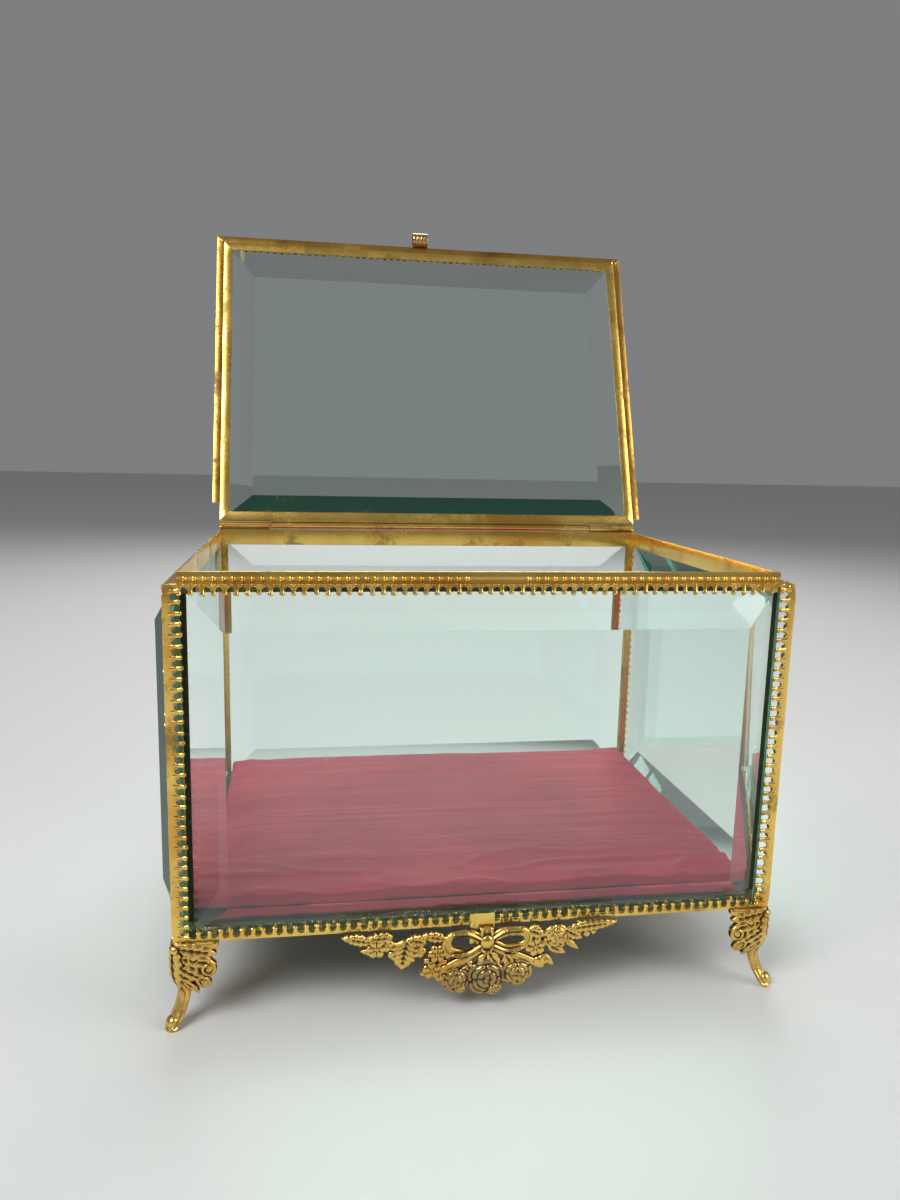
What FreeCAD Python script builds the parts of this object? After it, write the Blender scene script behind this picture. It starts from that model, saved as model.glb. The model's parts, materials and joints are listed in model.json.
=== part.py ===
import FreeCAD, Part
import os
import Sketcher

# Glass casket on four feet, with a gilt brass frame, thick bevelled panes,
# a cushion on a card board and a glazed lid on a tube hinge.
# Casket frame: X to the right, Y to the back, Z up, footprint centre on the ground.
# The lid is made in a frame of its own, underside at Z = 0, and is then swung open.

SIZES = [
    ("lipWidth", 150.0, "raised lip, left to right outside"),
    ("lipDepth", 107.6, "raised lip, front to back outside"),
    ("bodyHeight", 91.4, "underside of the bottom rails to the top of the lip"),
    ("footHeight", 22.2, "ground to the underside of the bottom rails"),
    ("sheet", 0.35, "thickness of the folded brass sheet"),
    ("toothGap", 0.01, "toothed leg of a rail to the bevel it holds"),
    ("lipHeight", 2.7, "lip above the ledge"),
    ("lipThick", 0.75, "folded lip, inside to outside"),
    ("flangeDrop", 4.9, "inner flange, down from the top of the lip"),
    ("topLeg", 2.6, "toothed leg of a top rail, down from the ledge"),
    ("bottomLeg", 2.9, "toothed leg of a bottom rail, up from its underside"),
    ("shelfWidth", 7.0, "underside shelf of a bottom rail"),
    ("postLeg", 4.35, "toothed leg of a corner post"),
    ("angleLeg", 2.2, "leg of the angle strip inside a corner"),
    ("crownHeight", 3.5, "pointed tray strip above the shelf"),
    ("crownGap", 0.1, "tray strip to the inner face of the pane"),
    ("paneThick", 7.3, "middle of a wall or lid pane"),
    ("paneEdge", 1.2, "ground edge of a wall or lid pane"),
    ("bevelRun", 10.2, "width of the bevel on a wall or lid pane"),
    ("paneHead", 0.05, "top edge of a wall pane below the ledge's underside"),
    ("cornerGap", 0.3, "pane edge short of the neighbouring pane"),
    ("baseThick", 3.2, "middle of the base glass"),
    ("baseEdge", 1.0, "ground edge of the base glass"),
    ("baseBevel", 9.5, "width of the bevel on the base glass"),
    ("baseGap", 0.35, "base glass edge to the tray strip"),
    ("boardThick", 1.0, "card board under the cushion"),
    ("boardGap", 0.55, "board edge to the tray strip"),
    ("cushionThick", 6.7, "cushion"),
    ("cushionGap", 1.15, "cushion edge to the tray strip"),
    ("cushionRound", 2.6, "rounding of the cushion's top edge"),
    ("recessWidth", 12.3, "shallow dent in the front lip for the catch"),
    ("recessOffset", 1.1, "dent centre to the right of the middle"),
    ("recessDepth", 0.3, "depth of the dent"),
    ("recessRise", 0.7, "dent above the ledge"),
    ("recessHeight", 1.5, "dent, up the lip"),
    ("footWing", 10.5, "width of a foot's wing along a rail"),
    ("footThick", 2.2, "thickness of a foot's wing and leg"),
    ("footProud", 0.3, "foot stands proud of the rails"),
    ("ankleWidth", 3.6, "narrow part of a foot"),
    ("toeReach", 2.1, "toe beyond the corner"),
    ("footWaist", 1.1, "outer edge of a foot set in at its waist"),
    ("swagWidth", 73.0, "hanging ornament under the front rail"),
    ("swagClear", 2.8, "ornament above the ground"),
    ("swagThick", 1.0, "ornament plate"),
    ("swagOffset", -1.0, "ornament centre from the middle"),
    ("loopWidth", 7.0, "opening in a loop of the bow"),
    ("loopHeight", 4.1, "opening in a loop of the bow, upright"),
    ("loopBridge", 3.5, "plate left between the two openings"),
    ("loopLevel", 2.3, "openings below the rail"),
    ("tabWidth", 6.4, "fixing tab behind the ornament"),
    ("tabRise", 3.2, "fixing tab above the rail's underside"),
    ("tabLap", 4.85, "fixing tab behind the ornament, down from the rail"),
    ("tabThick", 0.5, "fixing tab"),
    ("lidOverhang", 0.8, "front of the closed lid frame beyond the lip"),
    ("lidGap", 0.3, "closed lid above the lip"),
    ("lidFlange", 3.1, "underside flange of the lid frame"),
    ("lidTopLeg", 2.6, "toothed leg over the lid glass"),
    ("lidToothGap", 0.4, "toothed leg of the lid frame to the bevel it holds"),
    ("lidPaneGap", 0.25, "lid glass edge to the wall of the lid frame"),
    ("borderWidth", 2.65, "overhanging border of the lid"),
    ("borderLevel", 0.6, "underside of the border above the lid's underside"),
    ("borderHeight", 1.9, "upturned edge of the border"),
    ("borderStopLeft", 6.5, "left border short of the hinge side"),
    ("borderStopRight", 2.0, "right border short of the hinge side"),
    ("lidOpen", 111.3, "lid opened from closed, in degrees"),
    ("tubeRadius", 1.15, "hinge tube, outside"),
    ("pinRadius", 0.5, "hinge pin"),
    ("pinPlay", 0.05, "radial play of the pin in the tube"),
    ("tubeLift", 0.3, "hinge tube above the lip"),
    ("hingeSetback", 0.1, "hinge axis behind the outer face of the lip"),
    ("lidWallGap", 0.35, "hinge tube to the lid frame's rear wall"),
    ("knuckleEnd", 17.0, "each outer knuckle"),
    ("knuckleGap", 0.3, "gap between knuckles"),
    ("leafDrop", 2.2, "leaf of an outer knuckle, down the lip"),
    ("leafThick", 0.45, "leaf of an outer knuckle"),
    ("leafBite", 0.1, "leaf of the long knuckle runs into its tube"),
    ("leafInset", 0.25, "leaf of the long knuckle short of the lid frame's edges"),
    ("catchWidth", 5.6, "catch"),
    ("catchRadius", 2.6, "rolled end of the catch, outside"),
    ("catchSheet", 0.45, "thickness of the catch"),
    ("catchOffset", -1.9, "catch centre from the middle"),
]

# ---------------------------------------------------------------- named places
# Each is an expression on the sheet, so sketches and features follow a changed size.
LIP_X = "(Sizes.lipWidth / 2)"
LIP_Y = "(Sizes.lipDepth / 2)"
SLOPE = "((Sizes.paneThick - Sizes.paneEdge) / Sizes.bevelRun)"
# the toothed legs stand off by what the bevel has risen where the longer leg ends
TOOTH_REACH = "(max(Sizes.topLeg - Sizes.paneHead; Sizes.bottomLeg) - Sizes.sheet)"
BEVEL_OUT = f"(Sizes.paneEdge + {TOOTH_REACH} * {SLOPE} + Sizes.toothGap)"
LEDGE = f"({BEVEL_OUT} + 2 * Sizes.sheet - Sizes.lipThick)"
OUT_X = f"({LIP_X} + {LEDGE})"
OUT_Y = f"({LIP_Y} + {LEDGE})"
INNER_X = "(Sizes.lipWidth / 2 - Sizes.lipThick + Sizes.sheet)"
INNER_Y = "(Sizes.lipDepth / 2 - Sizes.lipThick + Sizes.sheet)"
BOTTOM = "Sizes.footHeight"
SHELF_TOP = "(Sizes.footHeight + Sizes.sheet)"
LIP_TOP = "(Sizes.footHeight + Sizes.bodyHeight)"
LEDGE_TOP = "(Sizes.footHeight + Sizes.bodyHeight - Sizes.lipHeight)"
FLANGE_FOOT = "(Sizes.footHeight + Sizes.bodyHeight - Sizes.flangeDrop)"
PANE_HIGH = f"({LEDGE_TOP} - Sizes.sheet - Sizes.paneHead)"
CROWN_TOP = f"({SHELF_TOP} + Sizes.crownHeight)"
BASE_TOP = f"({SHELF_TOP} + Sizes.baseThick)"
BOARD_TOP = f"({BASE_TOP} + Sizes.boardThick)"
CROWN_X = f"({LIP_X} - Sizes.lipThick - Sizes.crownGap)"
CROWN_Y = f"({LIP_Y} - Sizes.lipThick - Sizes.crownGap)"
SWAG_DROP = "(Sizes.footHeight - Sizes.swagClear)"
HINGE_Y = f"({LIP_Y} + Sizes.hingeSetback)"
HINGE_Z = f"({LIP_TOP} + Sizes.tubeLift + Sizes.tubeRadius)"
LID_X = LIP_X
LID_REAR = f"({HINGE_Y} - Sizes.tubeRadius - Sizes.lidWallGap)"
LID_Y = f"(({LID_REAR} + {LIP_Y} + Sizes.lidOverhang) / 2)"
LID_TOOTH = "(Sizes.lidTopLeg - Sizes.sheet - Sizes.lidPaneGap)"
LID_HEIGHT = f"(2 * Sizes.sheet + Sizes.paneEdge + {LID_TOOTH} * {SLOPE} + Sizes.lidToothGap)"
LID_LEVEL = f"({LIP_TOP} + Sizes.lidGap)"
SIDES = {"front": -1, "rear": 1, "left": -1, "right": 1}
CORNERS = {
    "front_left": (-1, -1),
    "front_right": (1, -1),
    "rear_left": (-1, 1),
    "rear_right": (1, 1),
}

doc = FreeCAD.newDocument("GlassCasket")
sizes = doc.addObject("Spreadsheet::Sheet", "Sizes")
for row, (alias, number, note) in enumerate(SIZES, start=1):
    sizes.set(f"A{row}", note)
    sizes.set(f"B{row}", str(number))
    sizes.setAlias(f"B{row}", alias)
doc.recompute()

fixed_parts = []
lid_parts = []


def value(expression):
    """The present number behind an expression on the sheet."""
    return float(sizes.evalExpression(str(expression).replace("Sizes.", "")))


def signed(sign, expression):
    """An expression, mirrored when the sign is negative."""
    return f"-1 * {expression}" if sign < 0 else f"{expression}"


# ---------------------------------------------------------------- feature helpers
def new_body(label, group):
    body = doc.addObject("PartDesign::Body", label)
    body.Label = label
    group.append(body)
    return body


def outline(body, plane, corners, level="0"):
    """A closed sketch of straight lines on an origin plane, every corner bound to the sheet."""
    sketch = body.newObject("Sketcher::SketchObject", f"{body.Name}_outline")
    support = [f for f in body.Origin.OriginFeatures if f.Role == plane][0]
    sketch.AttachmentSupport = [(support, "")]
    sketch.MapMode = "FlatFace"
    sketch.AttachmentOffset = FreeCAD.Placement(FreeCAD.Vector(0, 0, value(level)), FreeCAD.Rotation())
    sketch.setExpression("AttachmentOffset.Base.z", level)
    points = [FreeCAD.Vector(value(across), value(along), 0) for across, along in corners]
    count = len(points)
    for i in range(count):
        sketch.addGeometry(Part.LineSegment(points[i], points[(i + 1) % count]), False)
    for i in range(count):
        sketch.addConstraint(Sketcher.Constraint("Coincident", i, 2, (i + 1) % count, 1))
    for i, (across, along) in enumerate(corners):
        for kind, expression, number in (
            ("DistanceX", across, points[i].x),
            ("DistanceY", along, points[i].y),
        ):
            index = sketch.addConstraint(Sketcher.Constraint(kind, i, 1, number))
            sketch.setExpression(f"Constraints[{index}]", expression)
    return sketch


def rectangle(low_x, low_y, high_x, high_y):
    return [(low_x, low_y), (high_x, low_y), (high_x, high_y), (low_x, high_y)]


def pad(body, sketch, length, midplane=False, reverse=False):
    feature = body.newObject("PartDesign::Pad", f"{body.Name}_pad")
    feature.Profile = sketch
    feature.setExpression("Length", length)
    feature.Midplane = midplane
    feature.Reversed = reverse
    doc.recompute()
    return feature


def cut_through(body, corners):
    """Cuts a vertical prism out of the body, through everything, both ways from the ground plane."""
    before = body.Shape.Volume
    sketch = outline(body, "XY_Plane", corners)
    feature = body.newObject("PartDesign::Pocket", f"{body.Name}_cut")
    feature.Profile = sketch
    feature.Type = "ThroughAll"
    feature.Midplane = True
    doc.recompute()
    if not body.Shape.Volume < before:
        raise RuntimeError(f"{body.Label}: a cut removed nothing")
    return feature


def face_at(feature, axis, highest):
    """Name of the flat face furthest along an axis, or furthest the other way."""
    centres = [getattr(face.CenterOfMass, axis) for face in feature.Shape.Faces]
    target = max(centres) if highest else min(centres)
    return f"Face{centres.index(target) + 1}"


def bevel(body, blank, axis, highest, rise, run):
    """Grinds a bevel round the outer face of a pane blank."""
    feature = body.newObject("PartDesign::Chamfer", f"{body.Name}_bevel")
    feature.Base = (blank, [face_at(blank, axis, highest)])
    feature.ChamferType = "Two distances"
    feature.setExpression("Size", rise)
    feature.setExpression("Size2", run)
    doc.recompute()
    return feature


def mitred_strip(label, side, section, half_x, half_y, group, ends=("mitre", "mitre"), stops=("0", "0")):
    """A straight strip of the given section along one side of a rectangle.
    The section's corners are (outward from the rectangle's centre beyond its half size, height).
    Each end is mitred at 45 degrees through the rectangle's corner, or square and short of it."""
    sign = SIDES[side]
    runs_in_x = side in ("front", "rear")
    half_out, half_run = (half_y, half_x) if runs_in_x else (half_x, half_y)
    body = new_body(label, group)
    corners = [(signed(sign, f"({half_out} + {out})"), level) for out, level in section]
    # waste past the corner, wider than any strip's section
    spare = "(Sizes.shelfWidth + Sizes.lidFlange + Sizes.borderWidth)"
    sketch = outline(body, "YZ_Plane" if runs_in_x else "XZ_Plane", corners)
    pad(body, sketch, f"2 * ({half_run} + {spare})", midplane=True)
    for end, kind, stop in zip((-1, 1), ends, stops):
        if kind == "mitre":
            run_in, out_in = f"({half_run} - {spare})", f"({half_out} - {spare})"
            run_far, out_far = f"({half_run} + {spare})", f"({half_out} + {spare})"
            waste = [(run_in, out_in), (run_far, out_far), (run_far, out_in)]
        else:
            near, far = f"({half_run} - {stop})", f"({half_run} + {spare})"
            low, high = f"({half_out} - {spare})", f"({half_out} + {spare})"
            waste = [(near, low), (far, low), (far, high), (near, high)]
        placed = [(signed(end, run), signed(sign, out)) for run, out in waste]
        if not runs_in_x:
            placed = [(across, along) for along, across in placed]
        cut_through(body, placed)
    return body


# ---------------------------------------------------------------- panes
def wall_pane(side):
    """A wall pane that stands on the shelf, flat inside, with a wide bevel outside."""
    body = new_body(f"{side}_glass", fixed_parts)
    sign = SIDES[side]
    runs_in_x = side in ("front", "rear")
    half = f"({INNER_X if runs_in_x else INNER_Y} - Sizes.cornerGap)"
    inner = INNER_Y if runs_in_x else INNER_X
    corners = rectangle(f"-1 * {half}", SHELF_TOP, half, PANE_HIGH)
    plane = "XZ_Plane" if runs_in_x else "YZ_Plane"
    outward_is_normal = side in ("front", "right")
    level = inner if outward_is_normal else f"-1 * {inner}"
    sketch = outline(body, plane, corners, level)
    blank = pad(body, sketch, "Sizes.paneThick", reverse=not outward_is_normal)
    axis = "y" if runs_in_x else "x"
    bevel(body, blank, axis, sign > 0, "Sizes.paneThick - Sizes.paneEdge", "Sizes.bevelRun")


def base_pane():
    """The base glass lies flat on the shelf of the bottom rails, bevel upwards."""
    body = new_body("base_glass", fixed_parts)
    half_x, half_y = f"({CROWN_X} - Sizes.baseGap)", f"({CROWN_Y} - Sizes.baseGap)"
    corners = rectangle(f"-1 * {half_x}", f"-1 * {half_y}", half_x, half_y)
    blank = pad(body, outline(body, "XY_Plane", corners, SHELF_TOP), "Sizes.baseThick")
    bevel(body, blank, "z", True, "Sizes.baseThick - Sizes.baseEdge", "Sizes.baseBevel")


def lid_pane():
    body = new_body("lid_glass", lid_parts)
    half_x = f"({LID_X} - Sizes.sheet - Sizes.lidPaneGap)"
    half_y = f"({LID_Y} - Sizes.sheet - Sizes.lidPaneGap)"
    corners = rectangle(f"-1 * {half_x}", f"-1 * {half_y}", half_x, half_y)
    blank = pad(body, outline(body, "XY_Plane", corners, "Sizes.sheet"), "Sizes.paneThick")
    bevel(body, blank, "z", True, "Sizes.paneThick - Sizes.paneEdge", "Sizes.bevelRun")


# ---------------------------------------------------------------- lining
def lining():
    """Card board on the base glass, and the cushion that lies on it."""
    board = new_body("base_board", fixed_parts)
    half_x, half_y = f"({CROWN_X} - Sizes.boardGap)", f"({CROWN_Y} - Sizes.boardGap)"
    corners = rectangle(f"-1 * {half_x}", f"-1 * {half_y}", half_x, half_y)
    pad(board, outline(board, "XY_Plane", corners, BASE_TOP), "Sizes.boardThick")
    cushion = new_body("cushion", fixed_parts)
    half_x, half_y = f"({CROWN_X} - Sizes.cushionGap)", f"({CROWN_Y} - Sizes.cushionGap)"
    corners = rectangle(f"-1 * {half_x}", f"-1 * {half_y}", half_x, half_y)
    block = pad(cushion, outline(cushion, "XY_Plane", corners, BOARD_TOP), "Sizes.cushionThick")
    rounding = cushion.newObject("PartDesign::Fillet", "cushion_rounding")
    rounding.Base = (block, [face_at(block, "z", True)])
    rounding.setExpression("Radius", "min(Sizes.cushionRound; 0.45 * Sizes.cushionThick)")
    doc.recompute()


# ---------------------------------------------------------------- frame
def top_rail(side):
    """Inner flange, raised lip, ledge over the pane's edge and the outer toothed leg, from one fold."""
    inside = "Sizes.lipThick"
    section = [
        (f"(-1 * {inside})", FLANGE_FOOT),
        (f"(Sizes.sheet - {inside})", FLANGE_FOOT),
        (f"(Sizes.sheet - {inside})", f"({LEDGE_TOP} - Sizes.sheet)"),
        (f"({LEDGE} - Sizes.sheet)", f"({LEDGE_TOP} - Sizes.sheet)"),
        (f"({LEDGE} - Sizes.sheet)", f"({LEDGE_TOP} - Sizes.topLeg)"),
        (LEDGE, f"({LEDGE_TOP} - Sizes.topLeg)"),
        (LEDGE, LEDGE_TOP),
        ("0", LEDGE_TOP),
        ("0", LIP_TOP),
        (f"(-1 * {inside})", LIP_TOP),
    ]
    body = mitred_strip(f"top_rail_{side}", side, section, LIP_X, LIP_Y, fixed_parts)
    if side == "front":
        catch_recess(body)
    return body


def catch_recess(body):
    """The shallow dent in the front lip that the catch snaps over."""
    before = body.Shape.Volume
    left = "(Sizes.recessOffset - Sizes.recessWidth / 2)"
    right = "(Sizes.recessOffset + Sizes.recessWidth / 2)"
    low = f"({LEDGE_TOP} + Sizes.recessRise)"
    high = f"({low} + Sizes.recessHeight)"
    level = f"({LIP_Y} - Sizes.recessDepth)"
    sketch = outline(body, "XZ_Plane", rectangle(left, low, right, high), level)
    recess = body.newObject("PartDesign::Pocket", "catch_recess")
    recess.Profile = sketch
    recess.setExpression("Length", "2 * Sizes.recessDepth")
    recess.Reversed = True
    doc.recompute()
    if not body.Shape.Volume < before:
        raise RuntimeError("the catch recess removed nothing")


def bottom_rail(side):
    """Outer toothed leg and the shelf that carries the base glass."""
    section = [
        (f"({LEDGE} - Sizes.shelfWidth)", BOTTOM),
        (LEDGE, BOTTOM),
        (LEDGE, f"({BOTTOM} + Sizes.bottomLeg)"),
        (f"({LEDGE} - Sizes.sheet)", f"({BOTTOM} + Sizes.bottomLeg)"),
        (f"({LEDGE} - Sizes.sheet)", SHELF_TOP),
        (f"({LEDGE} - Sizes.shelfWidth)", SHELF_TOP),
    ]
    mitred_strip(f"bottom_rail_{side}", side, section, LIP_X, LIP_Y, fixed_parts)


def tray_crown(side):
    """Pointed strip that stands on the shelf just inside a pane."""
    inner = "(-1 * Sizes.lipThick - Sizes.crownGap)"
    outer = f"({inner} + Sizes.sheet)"
    section = [(inner, SHELF_TOP), (outer, SHELF_TOP), (outer, CROWN_TOP), (inner, CROWN_TOP)]
    mitred_strip(f"tray_crown_{side}", side, section, LIP_X, LIP_Y, fixed_parts)


def angle_outline(corner, sign_x, sign_y, leg, back):
    """An L in plan. Its corner is (x, y), its legs run inward, and its thickness is towards back."""
    x, y = corner
    points = [
        (x, y),
        (f"({x} - {leg})", y),
        (f"({x} - {leg})", f"({y} - {back})"),
        (f"({x} - {back})", f"({y} - {back})"),
        (f"({x} - {back})", f"({y} - {leg})"),
        (x, f"({y} - {leg})"),
    ]
    return [(signed(sign_x, across), signed(sign_y, along)) for across, along in points]


def corner_post(name):
    """Angle lapped over the ends of the rails, from the rails' underside to the ledge."""
    sign_x, sign_y = CORNERS[name]
    body = new_body(f"corner_post_{name}", fixed_parts)
    corner = (f"({OUT_X} + Sizes.sheet)", f"({OUT_Y} + Sizes.sheet)")
    corners = angle_outline(corner, sign_x, sign_y, "Sizes.postLeg", "Sizes.sheet")
    sketch = outline(body, "XY_Plane", corners, BOTTOM)
    pad(body, sketch, "Sizes.bodyHeight - Sizes.lipHeight")


def inner_angle(name):
    """Plain angle strip in the inside corner, between the tray crown and the inner flange."""
    sign_x, sign_y = CORNERS[name]
    body = new_body(f"inner_angle_{name}", fixed_parts)
    corners = angle_outline((INNER_X, INNER_Y), sign_x, sign_y, "Sizes.angleLeg", "Sizes.sheet")
    low, high = f"({CROWN_TOP} + Sizes.cornerGap)", f"({FLANGE_FOOT} - Sizes.cornerGap)"
    sketch = outline(body, "XY_Plane", corners, low)
    pad(body, sketch, f"{high} - {low}")


# ---------------------------------------------------------------- feet and ornament
def foot_profile():
    """Half of a foot's face: (inward from the corner, share of the foot's height)."""
    wing, ankle, toe, waist = "Sizes.footWing", "Sizes.ankleWidth", "Sizes.toeReach", "Sizes.footWaist"
    return [
        ("0", 1.0),
        (wing, 1.0),
        (f"0.97 * {wing}", 0.83),
        (f"0.76 * {wing}", 0.69),
        (f"0.55 * {wing}", 0.57),
        (f"({ankle} + 0.8 * {waist})", 0.42),
        (f"{ankle}", 0.24),
        (f"0.6 * {ankle}", 0.09),
        (f"0.45 * {ankle}", 0.0),
        (f"-0.85 * {toe}", 0.0),
        (f"-1 * {toe}", 0.07),
        (f"-0.5 * {toe}", 0.15),
        (f"0.8 * {waist}", 0.3),
        (waist, 0.46),
        (f"0.45 * {waist}", 0.64),
    ]


def foot(name):
    """Corner foot: two wings under the rails that run down into one ankle and an outward toe."""
    sign_x, sign_y = CORNERS[name]
    body = new_body(f"foot_{name}", fixed_parts)
    face_x, face_y = f"({OUT_X} + Sizes.footProud)", f"({OUT_Y} + Sizes.footProud)"
    front = [
        (signed(sign_x, f"({face_x} - {inward})"), f"{share} * {BOTTOM}")
        for inward, share in foot_profile()
    ]
    level = face_y if sign_y < 0 else f"-1 * {face_y}"
    sketch = outline(body, "XZ_Plane", front, level)
    pad(body, sketch, "Sizes.footThick", reverse=sign_y < 0)
    flank = [
        (signed(sign_y, f"({face_y} - {inward})"), f"{share} * {BOTTOM}")
        for inward, share in foot_profile()
    ]
    level = face_x if sign_x > 0 else f"-1 * {face_x}"
    sketch = outline(body, "YZ_Plane", flank, level)
    pad(body, sketch, "Sizes.footThick", reverse=sign_x > 0)


def swag():
    """Hanging ornament: deepest in the middle, with a lobe each side, tapering to both tips."""
    body = new_body("front_swag", fixed_parts)
    # right half: (share of the half width, share of the drop)
    lower = [(0.0, 1.0), (0.15, 0.97), (0.29, 0.75), (0.38, 0.44), (0.55, 0.42), (0.72, 0.26), (0.9, 0.12)]
    half = [(f"{across} * Sizes.swagWidth / 2", down) for across, down in lower]
    tips = [("Sizes.swagWidth / 2", 0.05), ("Sizes.swagWidth / 2", 0.0)]
    right = half + tips
    left = [(f"-1 * {across}", down) for across, down in reversed(right[1:])]
    corners = [
        (f"(Sizes.swagOffset + {across})", f"({BOTTOM} - {down} * {SWAG_DROP})")
        for across, down in right + left
    ]
    sketch = outline(body, "XZ_Plane", corners, f"({OUT_Y} + Sizes.tabThick)")
    pad(body, sketch, "Sizes.swagThick")
    before = body.Shape.Volume
    high = f"({BOTTOM} - Sizes.loopLevel)"
    low = f"({high} - Sizes.loopHeight)"
    for sign in (-1, 1):
        near = f"(Sizes.swagOffset + {signed(sign, 'Sizes.loopBridge')} / 2)"
        far = f"({near} + {signed(sign, 'Sizes.loopWidth')})"
        sketch = outline(body, "XZ_Plane", rectangle(near, low, far, high), f"({OUT_Y} + Sizes.tabThick)")
        loop = body.newObject("PartDesign::Pocket", "bow_loop")
        loop.Profile = sketch
        loop.Type = "ThroughAll"
        loop.Midplane = True
        doc.recompute()
        if not body.Shape.Volume < before:
            raise RuntimeError("a bow loop removed nothing")
        before = body.Shape.Volume


def swag_tab():
    """Fixing tab: soldered to the rail's leg above and to the back of the ornament below."""
    tab = doc.addObject("Part::Box", "swag_tab")
    tab.Label = "swag_tab"
    tab.setExpression("Length", "Sizes.tabWidth")
    tab.setExpression("Width", "Sizes.tabThick")
    tab.setExpression("Height", "Sizes.tabRise + Sizes.tabLap")
    tab.setExpression("Placement.Base.x", "Sizes.swagOffset - Sizes.tabWidth / 2")
    tab.setExpression("Placement.Base.y", f"-1 * {OUT_Y} - Sizes.tabThick")
    tab.setExpression("Placement.Base.z", f"{BOTTOM} - Sizes.tabLap")
    fixed_parts.append(tab)


# ---------------------------------------------------------------- hinge
def tube_with_leaf(label, group, start, length, axis, leaf_corner, leaf_thick, leaf_high):
    """A knuckle: a bored tube along X with a flat leaf fused to it."""
    axis_y, axis_z = axis
    leaf_low_y, leaf_low_z = leaf_corner
    tube = doc.addObject("Part::Cylinder", f"{label}_tube")
    tube.setExpression("Radius", "Sizes.tubeRadius")
    tube.setExpression("Height", length)
    tube.Placement = FreeCAD.Placement(
        FreeCAD.Vector(value(start), value(axis_y), value(axis_z)),
        FreeCAD.Rotation(FreeCAD.Vector(0, 1, 0), 90),
    )
    tube.setExpression("Placement.Base.x", start)
    tube.setExpression("Placement.Base.y", axis_y)
    tube.setExpression("Placement.Base.z", axis_z)
    leaf = doc.addObject("Part::Box", f"{label}_leaf")
    leaf.setExpression("Length", length)
    leaf.setExpression("Width", leaf_thick)
    leaf.setExpression("Height", f"{leaf_high} - {leaf_low_z}")
    leaf.setExpression("Placement.Base.x", start)
    leaf.setExpression("Placement.Base.y", leaf_low_y)
    leaf.setExpression("Placement.Base.z", leaf_low_z)
    joined = doc.addObject("Part::Fuse", f"{label}_joined")
    joined.Base = tube
    joined.Tool = leaf
    bore = doc.addObject("Part::Cylinder", f"{label}_bore")
    bore.setExpression("Radius", "Sizes.pinRadius + Sizes.pinPlay")
    bore.setExpression("Height", length)
    bore.Placement = tube.Placement
    bore.setExpression("Placement.Base.x", start)
    bore.setExpression("Placement.Base.y", axis_y)
    bore.setExpression("Placement.Base.z", axis_z)
    knuckle = doc.addObject("Part::Cut", label)
    knuckle.Label = label
    knuckle.Base = joined
    knuckle.Tool = bore
    doc.recompute()
    group.append(knuckle)


def hinge():
    """Two outer knuckles on the rear lip, a long one on the lid and the pin through all three."""
    leaf_low = f"({LIP_TOP} - Sizes.leafDrop)"
    for side, start in (("left", f"(-1 * {LIP_X})"), ("right", f"({LIP_X} - Sizes.knuckleEnd)")):
        tube_with_leaf(
            f"hinge_knuckle_{side}", fixed_parts, start, "Sizes.knuckleEnd",
            (HINGE_Y, HINGE_Z), (LIP_Y, leaf_low), "Sizes.leafThick", HINGE_Z,
        )
    # the long knuckle is made in the lid's own frame
    start = f"(-1 * {LIP_X} + Sizes.knuckleEnd + Sizes.knuckleGap)"
    length = "(Sizes.lipWidth - 2 * Sizes.knuckleEnd - 2 * Sizes.knuckleGap)"
    axis_y = f"({LID_Y} + Sizes.tubeRadius + Sizes.lidWallGap)"
    axis_z = "(Sizes.tubeLift + Sizes.tubeRadius - Sizes.lidGap)"
    leaf_thick = "(Sizes.lidWallGap + Sizes.leafBite)"
    leaf_high = f"({LID_HEIGHT} - Sizes.leafInset)"
    tube_with_leaf(
        "hinge_knuckle_middle", lid_parts, start, length, (axis_y, axis_z),
        (LID_Y, "Sizes.leafInset"), leaf_thick, leaf_high,
    )
    pin = doc.addObject("Part::Cylinder", "hinge_pin")
    pin.Label = "hinge_pin"
    pin.setExpression("Radius", "Sizes.pinRadius")
    pin.setExpression("Height", "Sizes.lipWidth")
    pin.Placement = FreeCAD.Placement(
        FreeCAD.Vector(-value(LIP_X), value(HINGE_Y), value(HINGE_Z)),
        FreeCAD.Rotation(FreeCAD.Vector(0, 1, 0), 90),
    )
    pin.setExpression("Placement.Base.x", f"-1 * {LIP_X}")
    pin.setExpression("Placement.Base.y", HINGE_Y)
    pin.setExpression("Placement.Base.z", HINGE_Z)
    fixed_parts.append(pin)


# ---------------------------------------------------------------- lid
def lid_rail(side):
    """Channel round the lid glass: underside flange, wall and the toothed leg on top."""
    section = [
        ("(-1 * Sizes.lidFlange)", "0"),
        ("0", "0"),
        ("0", LID_HEIGHT),
        ("(-1 * Sizes.lidTopLeg)", LID_HEIGHT),
        ("(-1 * Sizes.lidTopLeg)", f"({LID_HEIGHT} - Sizes.sheet)"),
        ("(-1 * Sizes.sheet)", f"({LID_HEIGHT} - Sizes.sheet)"),
        ("(-1 * Sizes.sheet)", "Sizes.sheet"),
        ("(-1 * Sizes.lidFlange)", "Sizes.sheet"),
    ]
    mitred_strip(f"lid_rail_{side}", side, section, LID_X, LID_Y, lid_parts)


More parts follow.
